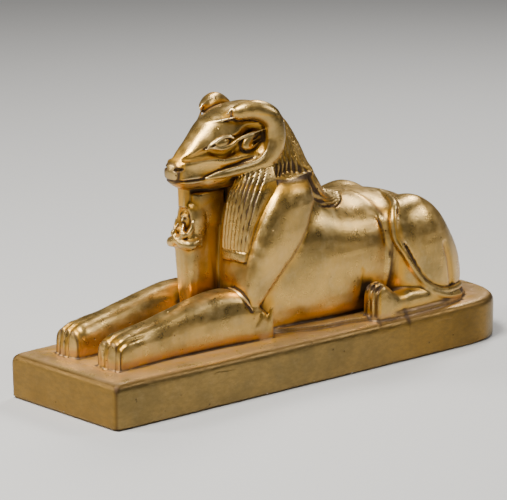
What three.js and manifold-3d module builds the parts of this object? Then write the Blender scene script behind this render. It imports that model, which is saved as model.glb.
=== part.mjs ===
// Ram-headed sphinx on its plinth: one solid plaster casting, millimetres, +Z up.
// The statue faces -Y, its left side is +X, and the origin is under the middle of the plinth.

import * as THREE from 'three';
import { LoftGeometry } from 'three/addons/geometries/LoftGeometry.js';
import { mergeVertices } from 'three/addons/utils/BufferGeometryUtils.js';
import Module from 'manifold-3d';

const wasm = await Module();
wasm.setup();

// ---------------------------------------------------------------- driving dimensions

const PLINTH = {
	length: 260, height: 21.75, frontHalf: 38.5, rearHalf: 46.7,
	rearRound: 40, rearPower: 2.9, cornerRound: 1.4, topEdge: 3, footEdge: 0.6,
	sidePlaces: [ - 50, 20 ],                                      // points along the straight sides
	roundShares: [ 0, 0.35, 0.58, 0.74, 0.86, 0.94, 0.985 ],       // points round the rear
};
const BEVEL = 0.3;        // a two-step bevel puts its middle point at this share of its size
const FIGURE_X = -1;      // the figure was set a little off the middle of its plinth
const PAD_TOP = 24;       // thin pad that the body and hind legs lie on
const PAD_SOFT = 0.6;     // its softened edge

// The pad's outline: y and half-width, along the chest, the flank and the hind legs.
const PAD = [
	[-30, 22], [-12, 25], [0, 31], [24, 35], [34, 38.5], [46, 42.5], [66, 43.5], [84, 42.5],
	[98, 37], [108, 29], [115, 18], [118, 7],
];

const PLEAT_DEPTH = 0.55;
const LAPPET_PLEAT_DEPTH = 0.88;
const WIG_PLEATS = 18;
const WIG_BEDDING = 5;    // how far the wig's edges run into the neck and back
const LAPPET_PLEATS = 8;
const AXIS_X = new THREE.Vector3( 1, 0, 0 );

// Stations along Y: y, half-width, lowest, widest and highest level, roundness power.
const TRUNK = [
	[-22, 22, 8, 60, 84, 2.4],
	[-5, 27, 8, 56, 89, 2.4],
	[14, 30.5, 8, 52, 86, 2.3],
	[32, 31.5, 8, 51, 80.4, 2.3],
	[50, 30.5, 8, 51, 78.8, 2.3],
	[67, 30, 8, 48, 77.4, 2.4],
	[84, 30, 8, 44, 72.4, 2.5],
	[97, 27, 10, 39, 61, 2.5],
	[105.4, 19, 12, 34, 48.6, 2.4],
	[109.6, 8, 18, 31, 38, 2.2],
];

// The ram's head, from the nose back to the skull under the wig.
const HEAD = [
	[-63.8, 2, 100.8, 103, 105, 2],
	[-62.8, 4.4, 98.4, 102.6, 107, 2.3],
	[-59, 6.4, 96, 102, 109.6, 2.6],
	[-54, 7.4, 94.2, 102, 114, 2.6],
	[-47.5, 8.8, 93.2, 103.5, 120.4, 2.5],
	[-42, 11, 92.6, 106, 125.4, 2.4],
	[-34, 13.2, 92, 109, 129.6, 2.4],
	[-24, 14.6, 92, 112, 131.8, 2.4],
	[-12, 14.6, 93, 112, 131.6, 2.3],
	[-2, 12, 97, 112, 127, 2.2],
	[5, 7, 103, 112, 119, 2],
];

// A foreleg lying forward, from the toes to the elbow, and where it stands off the middle.
const FORELEG_X = 15;
const FORELEG = [
	[-115.6, 4.2, 18, 25, 29, 2.6],
	[-114.4, 7.2, 18, 25, 32.6, 3],
	[-111, 8.7, 18, 25, 35.6, 3.2],
	[-104, 9, 18, 25.5, 37.4, 3],
	[-94, 8.6, 18, 26, 39, 2.7],
	[-80, 8.6, 18, 27, 42, 2.6],
	[-64, 9.2, 18, 28, 45, 2.6],
	[-50, 9.8, 18, 29, 46.8, 2.6],
	[-38, 10.4, 18, 29, 46, 2.8],
	[-28, 10.8, 18, 28, 40, 3],
	[-23, 10.6, 18, 27, 33, 3.2],
];
// Cuts between the toes, out from the middle of each paw: the two paws were carved differently.
const LEFT_TOES = [-6.7, -0.1, 7.2];
const RIGHT_TOES = [-1.6, 2.4, 6];
// A cut climbs the front of the paw, as y, z and half-sizes of the cutting bar, and then runs back
// along the top, as y, height over the paw and half-sizes.
const TOE_CUT_FRONT = [
	[-116.6, 20, 1.7, 0.8],
	[-116.2, 27, 1.7, 0.8],
	[-114, 33.4, 1.7, 0.8],
];
const TOE_CUT_TOP = [
	[-109, 0.2, 1.7, 0.8],
	[-104, 0.2, 1.7, 0.8],
	[-99, 0.9, 0.9, 0.35],
];

// The folded thigh, seen as a raised boss on each side of the rump.
const THIGH_X = 23;
const THIGH = [
	[50.5, 5, 44, 58, 66, 2.2],
	[53, 10.5, 34, 56, 70, 2.3],
	[59, 15, 20, 51, 73.4, 2.4],
	[67, 17.2, 12, 46, 75.8, 2.4],
	[76, 17.6, 8, 42, 76.4, 2.4],
	[85, 16.6, 8, 38, 72, 2.4],
	[93, 14.2, 8, 35, 63.4, 2.3],
	[100.6, 10.5, 10, 33, 52, 2.2],
	[106.4, 5.5, 14, 31, 41, 2],
];

// The tail's path: y, z on the thigh's skin from its tip, then x, y, z and half-sizes to its root.
const TAIL_HALF = [1.7, 1.4];
const TAIL_ON_THIGH = [
	[70, 76.8], [62, 75.8], [56, 72], [52.8, 66], [53, 59], [56, 51.5],
	[60.6, 43.6], [66.6, 36.4], [74, 31.6], [83, 29], [93, 28],
];
const TAIL_ROOT = [
	[31, 101, 27.6, 1.8, 1.6],
	[23, 106.6, 28, 2, 1.8],
	[13, 110, 30, 2.2, 2],
	[4, 109.6, 37, 2.4, 2.2],
	[0.6, 105.6, 47, 2.4, 2.4],
	[0, 99, 57, 2.4, 2.4],
];

// The hind foot that lies forward along the flank.
const HIND_FOOT_X = 36.5;
const HIND_FOOT = [
	[32.6, 2.6, 20, 28, 33, 2.4],
	[34, 4.6, 18, 28, 37.4, 2.8],
	[37.5, 5.8, 18, 29, 40.2, 2.8],
	[43, 6, 18, 28, 38, 2.6],
	[49, 5.6, 18, 27, 33.5, 2.6],
	[59, 5.8, 18, 27, 33.6, 2.6],
	[72, 5.6, 18, 27, 32.5, 2.6],
	[86, 5, 16, 26, 30, 2.4],
	[96, 3.4, 16, 24, 27.5, 2.2],
];

// Stations up Z: z, middle X, half-width, front, widest and back place in Y, roundness power.
const CHEST = [
	[18, 0, 22, -34, -20, 0, 4],
	[45, 0, 22, -35, -18, 6, 4],
	[66, 0, 23, -35.6, -12, 14, 3.4],
	[82, 0, 22, -34.6, -8, 18, 2.8],
	[94, 0, 18, -31, -6, 16, 2.4],
];
const UPPER_ARM = [
	[28, 21, 6.6, -36, -31, -25, 3],
	[38, 21.5, 7.8, -37.6, -31, -23.5, 3.4],
	[50, 22.2, 8.4, -36.6, -26, -15, 3.6],
	[64, 22.8, 8.8, -33.6, -18, -5, 3.4],
	[77, 22.6, 8.8, -29, -12, 3, 3],
	[87, 22, 8.2, -23, -9, 6.4, 2.6],
	[93.6, 21.4, 6, -17.4, -7.6, 4, 2.4],
	[97, 21, 2.6, -12.4, -7.4, -2, 2],
];
const ELBOW_SPUR = [
	[20, 25, 3, -34, -27, -22.5, 2.4],
	[28, 25.4, 2.4, -30, -25, -22.4, 2.2],
	[33, 26, 1.4, -26, -23.6, -22.4, 2],
	[36, 26.4, 0.5, -23.8, -22.9, -22.4, 2],
];
const KING = [
	[18, 0, 5.4, -57.4, -52, -44, 3],
	[27, 0, 5.2, -58.4, -52, -44, 3],
	[31, 0, 4.4, -56, -52, -44, 2.6],
	[50, 0, 4.9, -56.4, -52, -44, 2.6],
	[64, 0, 5.8, -57.4, -52, -44, 2.6],
	[72, 0, 6.6, -57.4, -52, -44, 2.6],
	[75.2, 0, 5.2, -56, -52, -44, 2.4],
];
const KING_HEADCLOTH = [
	[70.5, 0, 4.8, -55.4, -51, -45, 2.6],
	[76, 0, 6, -55.8, -51, -45, 2.8],
	[82, 0, 5.8, -56.4, -51, -45, 2.6],
	[86, 0, 4.4, -56, -51, -46, 2.4],
	[88, 0, 2, -53.4, -51, -48, 2],
];
// The king's forearms cross on the chest: x, y, z, half-depth, half-thickness from elbow to wrist.
const KING_FOREARM = [
	[6.2, -51, 67.4, 2.6, 2],
	[5.4, -55.6, 66.4, 2.5, 2.2],
	[1.6, -58, 68.4, 2.2, 2.2],
	[-2.4, -57.8, 72, 1.8, 1.8],
];
const KING_FIST = { x: 3.2, y: -57.4, z: 73.2, half: [1.9, 1.7, 2.1] };
const WEB = { half: 3.6, front: -53, back: -33, low: 18, high: 96 };   // joins king, chest and chin
const KING_FACE = { y: -55.4, z: 79.6, half: [3, 2.6, 4.6] };

// Horn stations: middle x, y, z, half-depth in the plane of the curl, half-thickness across it.
const HORN = [
	[9.4, -31.6, 128.2, 4, 3.6],
	[12.4, -26.4, 129.8, 4.5, 4.2],
	[15, -20.6, 129.6, 4.9, 4.6],
	[16.8, -14.6, 126, 5.3, 5],
	[17.4, -12.2, 118.6, 5.4, 5.2],
	[17.4, -13.2, 111.2, 5.2, 5],
	[16.6, -18, 105.8, 4.4, 4.4],
	[14.8, -27, 103.2, 3.3, 3.4],
	[12.6, -38, 101.6, 2.1, 2.2],
	[10.6, -49, 100.6, 0.5, 0.5],
];
// Wig stations down the neck: y, z, lean of the section, half-width, depth, half-angle of its arc.
const WIG = [
	[-15, 128.6, 0, 10, 8, 90],
	[-4, 126.8, 25, 13, 14, 90],
	[3, 121.6, 48, 15, 18, 90],
	[8.6, 114.4, 60, 17.2, 22, 90],
	[12.6, 107.2, 63, 19, 26, 90],
	[16, 99.8, 63, 20.4, 30, 88],
	[20.6, 91.6, 57, 22, 31, 82],
	[26.6, 85.2, 40, 24.4, 30, 62],
	[33.4, 81.8, 18, 28, 29, 40],
	[38.8, 80.6, 8, 30, 29, 25],
	[42, 79.9, 5, 30, 29, 14],
];

// Lappet stations up Z: z, inner and outer x, front y at the inner and outer edge, 1 where pleated.
const LAPPET = [
	[59.4, 8.2, 22.2, -38.2, -36, 0],
	[64.2, 8.2, 22.8, -38.4, -35.4, 0],
	[64.8, 8.2, 22.8, -38.4, -35.4, 1],
	[80, 9.4, 24, -38, -31.6, 1],
	[92, 11, 24, -36, -26, 1],
	[99, 12.4, 22.6, -33, -21, 1],
	[104, 13, 20, -30, -18, 1],
];
const LAPPET_BACK = { innerY: -20, outerY: -8, drawnIn: 4 };      // its hidden back, inside the chest
const MOUTH = { y: -52, z: 99.4, half: [9, 13, 0.5], tilt: -3 };
const NOSTRIL = { x: 4.6, y: -61.6, z: 104.6, half: [1.4, 1.8, 0.7] };
const EYE = { x: 11.2, y: -39, z: 115.6, half: [1.7, 5.2, 2.4], tilt: -6 };
const EAR = { x: 15, y: -22.6, z: 115.4, half: [1.8, 8.4, 3.8], tilt: 24 };

// ---------------------------------------------------------------- shape helpers

/** Signed power, which turns a circle into a squarer ring. */
function squared( value, power ) {

	return Math.sign( value ) * Math.pow( Math.abs( value ), 2 / power );

}

/** Smooth stations: a row of numbers for any place between the first and the last. */
function stationCurve( rows ) {

	const places = rows.map( ( row ) => row[ 0 ] );
	const width = rows[ 0 ].length;
	const curve = new THREE.CubicInterpolant( places, rows.flat(), width, new Float64Array( width ) );
	return ( place ) => Array.from( curve.evaluate( place ) );

}

/** One closed solid from a geometry, with its shared vertices merged. */
function solid( geometry ) {

	const bare = new THREE.BufferGeometry();
	bare.setAttribute( 'position', geometry.getAttribute( 'position' ) );
	bare.setIndex( geometry.index );
	const merged = mergeVertices( bare, 1e-4 );
	const index = Array.from( merged.index.array );
	const triangles = [];
	for ( let i = 0; i < index.length; i += 3 ) {

		const [ a, b, c ] = index.slice( i, i + 3 );
		if ( a !== b && b !== c && c !== a ) triangles.push( a, b, c );

	}

	const mesh = new wasm.Mesh( {
		numProp: 3,
		vertProperties: new Float32Array( merged.getAttribute( 'position' ).array ),
		triVerts: new Uint32Array( triangles ),
	} );
	return new wasm.Manifold( mesh );

}

/** Middle of a ring of points. */
function middleOf( ring ) {

	return ring.reduce( ( sum, point ) => sum.add( point ), new THREE.Vector3() ).divideScalar( ring.length );

}

/** A closed loft through rings of points, wound so that its faces point out. */
function loft( sections ) {

	const [ first, second ] = sections;
	const centre = middleOf( first );
	const along = middleOf( second ).sub( centre );
	const turn = new THREE.Vector3();
	first.forEach( ( point, i ) => {

		const next = first[ ( i + 1 ) % first.length ];
		turn.add( point.clone().sub( centre ).cross( next.clone().sub( centre ) ) );

	} );
	const rings = turn.dot( along ) > 0 ? sections : sections.map( ( ring ) => [ ...ring ].reverse() );
	return solid( new LoftGeometry( rings, { capStart: true, capEnd: true } ) );

}

/** A loft along Y through stations, mirrored to the right side when side is -1. */
function loftAlongY( rows, { x = 0, side = 1, sides = 16 } = {} ) {

	return loft( rows.map( ( [ y, half, low, mid, high, power ] ) => ringAngles( sides ).map( ( angle ) => {

		const rise = Math.sin( angle ) > 0 ? high - mid : mid - low;
		return new THREE.Vector3(
			side * ( x + half * squared( Math.cos( angle ), power ) ),
			y,
			mid + rise * squared( Math.sin( angle ), power ),
		);

	} ) ) );

}

/** A loft up Z through stations, mirrored to the right side when side is -1. */
function loftAlongZ( rows, { side = 1, sides = 16 } = {} ) {

	return loft( rows.map( ( [ z, x, half, front, mid, back, power ] ) => ringAngles( sides ).map( ( angle ) => {

		const depth = Math.sin( angle ) > 0 ? back - mid : mid - front;
		return new THREE.Vector3(
			side * ( x + half * squared( Math.cos( angle ), power ) ),
			mid + depth * squared( Math.sin( angle ), power ),
			z,
		);

	} ) ) );

}

/** Evenly spaced angles round a ring. */
function ringAngles( sides ) {

	return Array.from( { length: sides }, ( unused, i ) => 2 * Math.PI * i / sides );

}

/** An ellipsoid at a place, turned about X in degrees. */
function ellipsoid( place, half, { tiltX = 0, across = 12, down = 8 } = {} ) {

	const geometry = new THREE.SphereGeometry( 1, across, down );
	geometry.rotateX( Math.PI / 2 );
	geometry.scale( ...half );
	geometry.rotateX( THREE.MathUtils.degToRad( tiltX ) );
	geometry.translate( ...place );
	return solid( geometry );

}

/** A tapering bar along a smooth path; each row is x, y, z, half-depth, half-thickness. */
function bar( rows, { side = 1, sides = 10, steps = 20 } = {} ) {

	const path = new THREE.CatmullRomCurve3( rows.map( ( [ x, y, z ] ) => new THREE.Vector3( side * x, y, z ) ) );
	const sizes = new THREE.CatmullRomCurve3( rows.map( ( row ) => new THREE.Vector3( row[ 3 ], row[ 4 ], 0 ) ) );
	const sections = [];
	for ( let i = 0; i <= steps; i ++ ) {

		const t = i / steps;
		const place = path.getPoint( t );
		const size = sizes.getPoint( t );
		const depth = new THREE.Vector3().crossVectors( path.getTangent( t ), AXIS_X ).normalize();
		sections.push( ringAngles( sides ).map( ( angle ) => place.clone()
			.addScaledVector( depth, size.x * Math.cos( angle ) )
			.addScaledVector( AXIS_X, size.y * Math.sin( angle ) ) ) );

	}

	return loft( sections );

}

/** All solids joined into one. */
function joined( solids ) {

	return solids.reduce( ( sum, next ) => sum.add( next ) );

}

/** Both sides of a paired form. */
function pair( make ) {

	return joined( [ 1, - 1 ].map( make ) );

}

// ---------------------------------------------------------------- plinth and pad

/** Half-width of the plinth at a place along Y: it widens slowly towards its rounded rear. */
function plinthHalf( y ) {

	const rearStart = PLINTH.length / 2 - PLINTH.rearRound;
	const t = Math.min( 1, ( y + PLINTH.length / 2 ) / ( PLINTH.length - PLINTH.rearRound ) );
	const half = THREE.MathUtils.lerp( PLINTH.frontHalf, PLINTH.rearHalf, t );
	const into = Math.max( 0, ( y - rearStart ) / PLINTH.rearRound );
	return half * Math.pow( Math.max( 0, 1 - Math.pow( into, PLINTH.rearPower ) ), 1 / PLINTH.rearPower );

}

/** The plinth's outline at one level, drawn in by `inset`. */
function plinthRing( z, inset ) {

	const { length, frontHalf, cornerRound, rearRound, rearHalf, sidePlaces, roundShares } = PLINTH;
	const end = length / 2;
	const rows = [
		[ - end, frontHalf - cornerRound ],
		[ - end + BEVEL * cornerRound, frontHalf - BEVEL * cornerRound ],
	];
	const rearPlaces = roundShares.map( ( share ) => end - rearRound * ( 1 - share ) );
	for ( const y of [ - end + cornerRound, ...sidePlaces, ...rearPlaces ] ) rows.push( [ y, plinthHalf( y ) ] );
	const middle = sidePlaces.at( - 1 );
	const draw = ( [ y, half ], side ) => new THREE.Vector3(
		side * half * ( 1 - inset / rearHalf ),
		middle + ( y - middle ) * ( 1 - inset / ( end - middle ) ),
		z,
	);
	const left = rows.map( ( row ) => draw( row, 1 ) );
	const right = rows.map( ( row ) => draw( row, - 1 ) ).reverse();
	return [ ...left, draw( [ end, 0 ], 1 ), ...right ];

}

/** The plinth, with bevelled edges. */
function plinth() {

	const { height, topEdge, footEdge } = PLINTH;
	return loft( [
		plinthRing( 0, footEdge ),
		plinthRing( footEdge, 0 ),
		plinthRing( height - topEdge, 0 ),
		plinthRing( height - BEVEL * topEdge, BEVEL * topEdge ),
		plinthRing( height, topEdge ),
	] );

}

/** The thin pad under the body: its half-width follows the chest, the flank and the hind legs. */
function pad() {

	const ring = ( z, grow ) => [
		...PAD.map( ( [ y, half ] ) => new THREE.Vector3( half + grow, y, z ) ),
		...PAD.map( ( [ y, half ] ) => new THREE.Vector3( - half - grow, y, z ) ).reverse(),
	];
	return loft( [
		ring( PLINTH.height / 2, PAD_SOFT ),
		ring( PAD_TOP - PAD_SOFT, PAD_SOFT ),
		ring( PAD_TOP, - PAD_SOFT ),
	] );

}

// ---------------------------------------------------------------- lion body

/** The cut between two toes: a bar that climbs the front of the paw and runs back along its top. */
function toeCut( x, side ) {

	const level = ( y ) => stationCurve( FORELEG )( y )[ 4 ];
	const rows = [
		...TOE_CUT_FRONT.map( ( row ) => [ x, ...row ] ),
		...TOE_CUT_TOP.map( ( [ y, over, ...halves ] ) => [ x, y, level( y ) + over, ...halves ] ),
	];
	return bar( rows, { side, sides: 4, steps: 8 } );

}

/** One foreleg lying forward, with its toes cut. */
function foreleg( side ) {

	const leg = loftAlongY( FORELEG, { x: FORELEG_X, side, sides: 18 } );
	const cuts = ( side > 0 ? LEFT_TOES : RIGHT_TOES ).map( ( out ) => toeCut( FORELEG_X + out, side ) );
	return cuts.reduce( ( paw, cut ) => paw.subtract( cut ), leg );

}

/** The sharp spur behind the elbow. */
function elbowSpur( side ) {

	return loftAlongZ( ELBOW_SPUR, { side, sides: 6 } );

}

/** X of the thigh's outer skin at a place on its flank. */
function thighSkin( y, z ) {

	const [ , half, low, mid, high, power ] = stationCurve( THIGH )( y );
	const reach = Math.abs( z > mid ? ( z - mid ) / ( high - mid ) : ( mid - z ) / ( mid - low ) );
	return THIGH_X + half * Math.pow( Math.max( 0, 1 - Math.pow( reach, power ) ), 1 / power );

}

/** The tail: from the middle of the rump round its foot, up the front of the left thigh to its top. */
function tail() {

	const onThigh = TAIL_ON_THIGH.map( ( [ y, z ] ) => [ thighSkin( y, z ), y, z, ...TAIL_HALF ] );
	return bar( [ ...onThigh, ...TAIL_ROOT ], { sides: 6, steps: 26 } );

}

/** The lion's body with its legs and tail. */
function body() {

	return joined( [
		loftAlongY( TRUNK, { sides: 22 } ),
		loftAlongZ( CHEST, { sides: 16 } ),
		pair( ( side ) => loftAlongY( THIGH, { x: THIGH_X, side, sides: 18 } ) ),
		tail(),
		pair( ( side ) => loftAlongY( HIND_FOOT, { x: HIND_FOOT_X, side, sides: 10 } ) ),
		pair( foreleg ),
		pair( ( side ) => loftAlongZ( UPPER_ARM, { side, sides: 14 } ) ),
		pair( elbowSpur ),
	] );

}

// ---------------------------------------------------------------- head, horns and wig

/** The ram's head with its horns. */
function head() {

	const boss = ( side, { x, y, z, half, tilt = 0 } ) =>
		ellipsoid( [ side * x, y, z ], half, { tiltX: tilt, across: 10, down: 6 } );
	const mouth = ellipsoid( [ 0, MOUTH.y, MOUTH.z ], MOUTH.half, { tiltX: MOUTH.tilt, across: 14, down: 4 } );
	const nostrils = pair( ( side ) => boss( side, NOSTRIL ) );
	return joined( [
		loftAlongY( HEAD, { sides: 18 } ).subtract( mouth ).subtract( nostrils ),
		pair( ( side ) => bar( HORN, { side, sides: 10, steps: 18 } ) ),
		pair( ( side ) => boss( side, EYE ) ),
		pair( ( side ) => boss( side, EAR ) ),
	] );

}

/** The wig behind the horns: one pleated sheet down the neck and over the back to its rounded hem. */
function wig() {

	const sections = WIG.map( ( [ y, z, lean, half, depth, reach ] ) => {

		const inward = new THREE.Vector3( 0, 0, - 1 ).applyAxisAngle( AXIS_X, - THREE.MathUtils.degToRad( lean ) );
		const at = ( angle, sunk ) => new THREE.Vector3( half * Math.sin( angle ), y, z )
			.addScaledVector( inward, depth * ( 1 - Math.cos( angle ) ) + sunk );
		const edge = THREE.MathUtils.degToRad( reach );
		const ring = [];
		for ( let i = 0; i <= 2 * WIG_PLEATS; i ++ ) {

			const angle = THREE.MathUtils.lerp( - edge, edge, i / ( 2 * WIG_PLEATS ) );
			ring.push( at( angle, i % 2 ? PLEAT_DEPTH : 0 ) );

		}

		return [ ...ring, at( edge, WIG_BEDDING ), at( - edge, WIG_BEDDING ) ];

	} );
	return loft( sections );

}

/** One front lappet: a pleated slab that falls beside the chin and ends in a plain band. */
function lappet( side ) {

	const sections = LAPPET.map( ( [ z, inner, outer, innerY, outerY, pleated ] ) => {

		const front = [];
		for ( let i = 0; i <= 2 * LAPPET_PLEATS; i ++ ) {

			const t = i / ( 2 * LAPPET_PLEATS );
			const cut = i % 2 ? 0 : LAPPET_PLEAT_DEPTH * pleated;
			front.push( new THREE.Vector3(
				side * THREE.MathUtils.lerp( inner, outer, t ),
				THREE.MathUtils.lerp( innerY, outerY, t * t ) + cut,
				z,
			) );

		}

		const { innerY: backInner, outerY: backOuter, drawnIn } = LAPPET_BACK;
		return [
			...front,
			new THREE.Vector3( side * ( outer - drawnIn ), backOuter, z ),
			new THREE.Vector3( side * inner, backInner, z ),
		];

	} );
	return loft( sections );

}

// ---------------------------------------------------------------- the small king

/** The upright web behind the king that the casting needs: it also carries the ram's chin. */
function web() {

	const { half, front, back, low, high } = WEB;
	const block = new THREE.BoxGeometry( 2 * half, back - front, high - low );
	block.translate( 0, ( front + back ) / 2, ( low + high ) / 2 );
	return solid( block );

}

/** The little king with folded arms, and his web. */
function king() {

	const forearm = ( side ) => bar( KING_FOREARM, { side, sides: 8, steps: 6 } );
	const { x, y, z, half } = KING_FIST;
	const fist = ( side ) => ellipsoid( [ side * x, y, z ], half, { across: 8, down: 6 } );
	return joined( [
		loftAlongZ( KING, { sides: 12 } ),
		loftAlongZ( KING_HEADCLOTH, { sides: 12 } ),
		ellipsoid( [ 0, KING_FACE.y, KING_FACE.z ], KING_FACE.half ),
		pair( forearm ),
		pair( fist ),
		web(),
	] );

}

// ---------------------------------------------------------------- the one casting

const figure = joined( [ body(), head(), wig(), pair( lappet ), king(), pad() ] ).translate( [ FIGURE_X, 0, 0 ] );
const casting = plinth().add( figure );

const output = casting.getMesh();
const geometry = new THREE.BufferGeometry();
geometry.setAttribute( 'position', new THREE.BufferAttribute( output.vertProperties, 3 ) );
geometry.setIndex( new THREE.BufferAttribute( output.triVerts, 1 ) );
geometry.computeVertexNormals();

const gilding = new THREE.MeshStandardMaterial( { color: 0xb8924a, roughness: 0.38, metalness: 1 } );
const sphinx = new THREE.Mesh( geometry, gilding );
sphinx.name = 'ram_headed_sphinx';

const group = new THREE.Group();
group.add( sphinx );

export default group;
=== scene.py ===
"""The looks of a ram-headed sphinx on its plinth: a gilt plaster casting, its floor, light and camera.

The sculpture is modelled as clay: a grid of distances to its skin, in millimetres, to which each
sub-assembly adds and cuts its own forms. The finished clay is skinned with one mesh that stands
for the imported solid. The statue faces -Y, its left side is +X and +Z is up.
"""

import logging
import math
from dataclasses import dataclass
from enum import Enum
from typing import Callable, Sequence

import bmesh
import bpy
import numpy as np
from mathutils import Matrix, Vector


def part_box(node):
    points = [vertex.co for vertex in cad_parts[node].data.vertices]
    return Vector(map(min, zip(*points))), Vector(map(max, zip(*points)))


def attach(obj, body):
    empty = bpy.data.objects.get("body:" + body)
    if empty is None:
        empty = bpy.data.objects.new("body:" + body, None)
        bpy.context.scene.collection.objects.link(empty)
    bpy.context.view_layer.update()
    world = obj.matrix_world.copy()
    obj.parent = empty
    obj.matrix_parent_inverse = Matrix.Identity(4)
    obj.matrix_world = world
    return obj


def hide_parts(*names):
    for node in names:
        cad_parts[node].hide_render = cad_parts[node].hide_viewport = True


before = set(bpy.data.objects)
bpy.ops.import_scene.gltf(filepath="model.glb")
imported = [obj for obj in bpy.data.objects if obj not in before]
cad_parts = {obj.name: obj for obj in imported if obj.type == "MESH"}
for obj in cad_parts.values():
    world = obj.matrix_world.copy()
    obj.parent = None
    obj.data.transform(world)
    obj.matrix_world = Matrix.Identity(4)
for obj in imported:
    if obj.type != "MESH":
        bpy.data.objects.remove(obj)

LOG = logging.getLogger("ram_headed_sphinx")
MM = 0.001
FAR = 8.0                 # the clay's distances are not kept beyond this, in millimetres
FIGURE_X = -1.0           # the figure stands this much off the middle of its plinth
FINE_CELL = 0.5           # size of the grid's finest cells, in millimetres
LEAST_SLOPE = 1e-3        # what a distance is divided by is no less than these
LEAST_STEEPNESS = 6e-4
LEAST_LENGTH = 1e-9
# Spans of the grid: from, to, and the size of a cell there as a multiple of the finest.
HALF_WIDTH_SPANS = ((0, 25, 1), (25, 48.5, 1.3))
LENGTH_SPANS = ((-131.2, -117, 1.8), (-117, -98, 1.2), (-98, -66, 1.8), (-66, -4, 1), (-4, 131.2, 1.7))
HEIGHT_SPANS = ((-1.2, 18, 2.4), (18, 58, 1.2), (58, 137, 1))

Rows = Sequence[Sequence[float]]
Point = tuple[float, float, float]
Box = tuple[Sequence[float], Sequence[float]]
Places = Sequence[np.ndarray]       # x, y and z as arrays that broadcast


# ------------------------------------------------------------------ curves

def stations(rows: Rows) -> Callable[[np.ndarray], np.ndarray]:
    """Smooth values between stations.

    Args:
        rows: one row per station, its place first and its values after it.

    Returns:
        A function from an array of places to an array with one row of values per place.
    """
    table = np.array(rows, float)
    knots, values = table[:, 0], table[:, 1:]
    slopes = np.gradient(values, knots, axis=0)

    def at(places: np.ndarray) -> np.ndarray:
        """The values at places.

        Args:
            places: an array of places.

        Returns:
            One row of values for each place.
        """
        places = np.clip(np.atleast_1d(places), knots[0], knots[-1])
        i = np.clip(np.searchsorted(knots, places) - 1, 0, len(knots) - 2)
        span = (knots[i + 1] - knots[i])[:, None]
        t = (places - knots[i])[:, None] / span
        rest = 1 - t
        return (
            rest * rest * ((1 + 2 * t) * values[i] + t * span * slopes[i])
            + t * t * ((1 + 2 * rest) * values[i + 1] - rest * span * slopes[i + 1])
        )

    return at


def smooth_path(points: Rows, steps: int = 5) -> np.ndarray:
    """A smooth line through points.

    Args:
        points: rows of numbers, such as x, y, z and a radius.
        steps: pieces between two neighbouring points.

    Returns:
        An array of rows along the line.
    """
    table = np.array(points, float)
    index = np.arange(len(table))
    rows = np.column_stack([index, table])
    return stations(rows)(np.linspace(0, len(table) - 1, steps * (len(table) - 1) + 1))


def soft_min(a: np.ndarray, b: np.ndarray, blend: float) -> np.ndarray:
    """The smaller of two distances, with a fillet where they meet.

    Args:
        a: the first distances.
        b: the second distances.
        blend: about the size of the fillet.

    Returns:
        The distances to the two forms joined.
    """
    if blend <= 0:
        return np.minimum(a, b)
    overlap = np.maximum(blend - np.abs(a - b), 0) / blend
    return np.minimum(a, b) - overlap * overlap * (blend / 4)


def soft_max(a: np.ndarray, b: np.ndarray, blend: float) -> np.ndarray:
    """The larger of two distances, rounded over about `blend` where they meet."""
    return -soft_min(-a, -b, blend)


# ------------------------------------------------------------------ forms

class Form:
    """A form that can be added to the clay or cut from it. Its x is mirrored when `paired`."""

    paired: bool = False

    def box(self) -> Box:
        """Lowest and highest corner of the form."""
        raise NotImplementedError

    def distance(self, at: Places) -> np.ndarray:
        """Distance to the form's skin, below zero inside."""
        raise NotImplementedError


def levelled(measure: np.ndarray, at: Places) -> np.ndarray:
    """A distance from a measure that is 1 on a form's skin and grows outwards.

    Args:
        measure: the measure at the places.
        at: the places.

    Returns:
        The distances.
    """
    steep = np.zeros_like(measure)
    for slope in np.gradient(measure, *[axis.ravel() for axis in at]):
        steep += slope * slope
    return (measure - 1) / np.sqrt(np.maximum(steep, LEAST_STEEPNESS))


def squared_ring(u: np.ndarray, v: np.ndarray, power: np.ndarray | float) -> np.ndarray:
    """1 on a ring that is round for power 2 and squarer above it."""
    return (np.abs(u) ** power + np.abs(v) ** power) ** (1 / power)


@dataclass(frozen=True)
class Billet(Form):
    """A form along Y: rows of y, half-width, lowest, widest and highest level, and squareness."""

    rows: Rows
    x: float = 0.0
    paired: bool = False
    round_ends: float = 1.5

    def box(self) -> Box:
        """The form's box.

        Returns:
            Its lowest and its highest corner.
        """
        table = np.array(self.rows)
        half = table[:, 1].max()
        return (
            (self.x - half, table[0, 0], table[:, 2].min()),
            (self.x + half, table[-1, 0], table[:, 4].max()),
        )

    def distance(self, at: Places) -> np.ndarray:
        """Distance to the form's skin.

        Args:
            at: the places to measure at.

        Returns:
            The distances, below zero inside.
        """
        x, y, z = at
        values = stations(self.rows)(y.ravel()).astype(np.float32)
        half, low, mid, high, power = (values[:, i][None, :, None] for i in range(5))
        rise = np.where(z > mid, high - mid, mid - low)
        skin = levelled(squared_ring((x - self.x) / half, (z - mid) / rise, power), at)
        ends = np.maximum(self.rows[0][0] - y, y - self.rows[-1][0]).astype(np.float32)
        return soft_max(skin, ends, self.round_ends)


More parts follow.
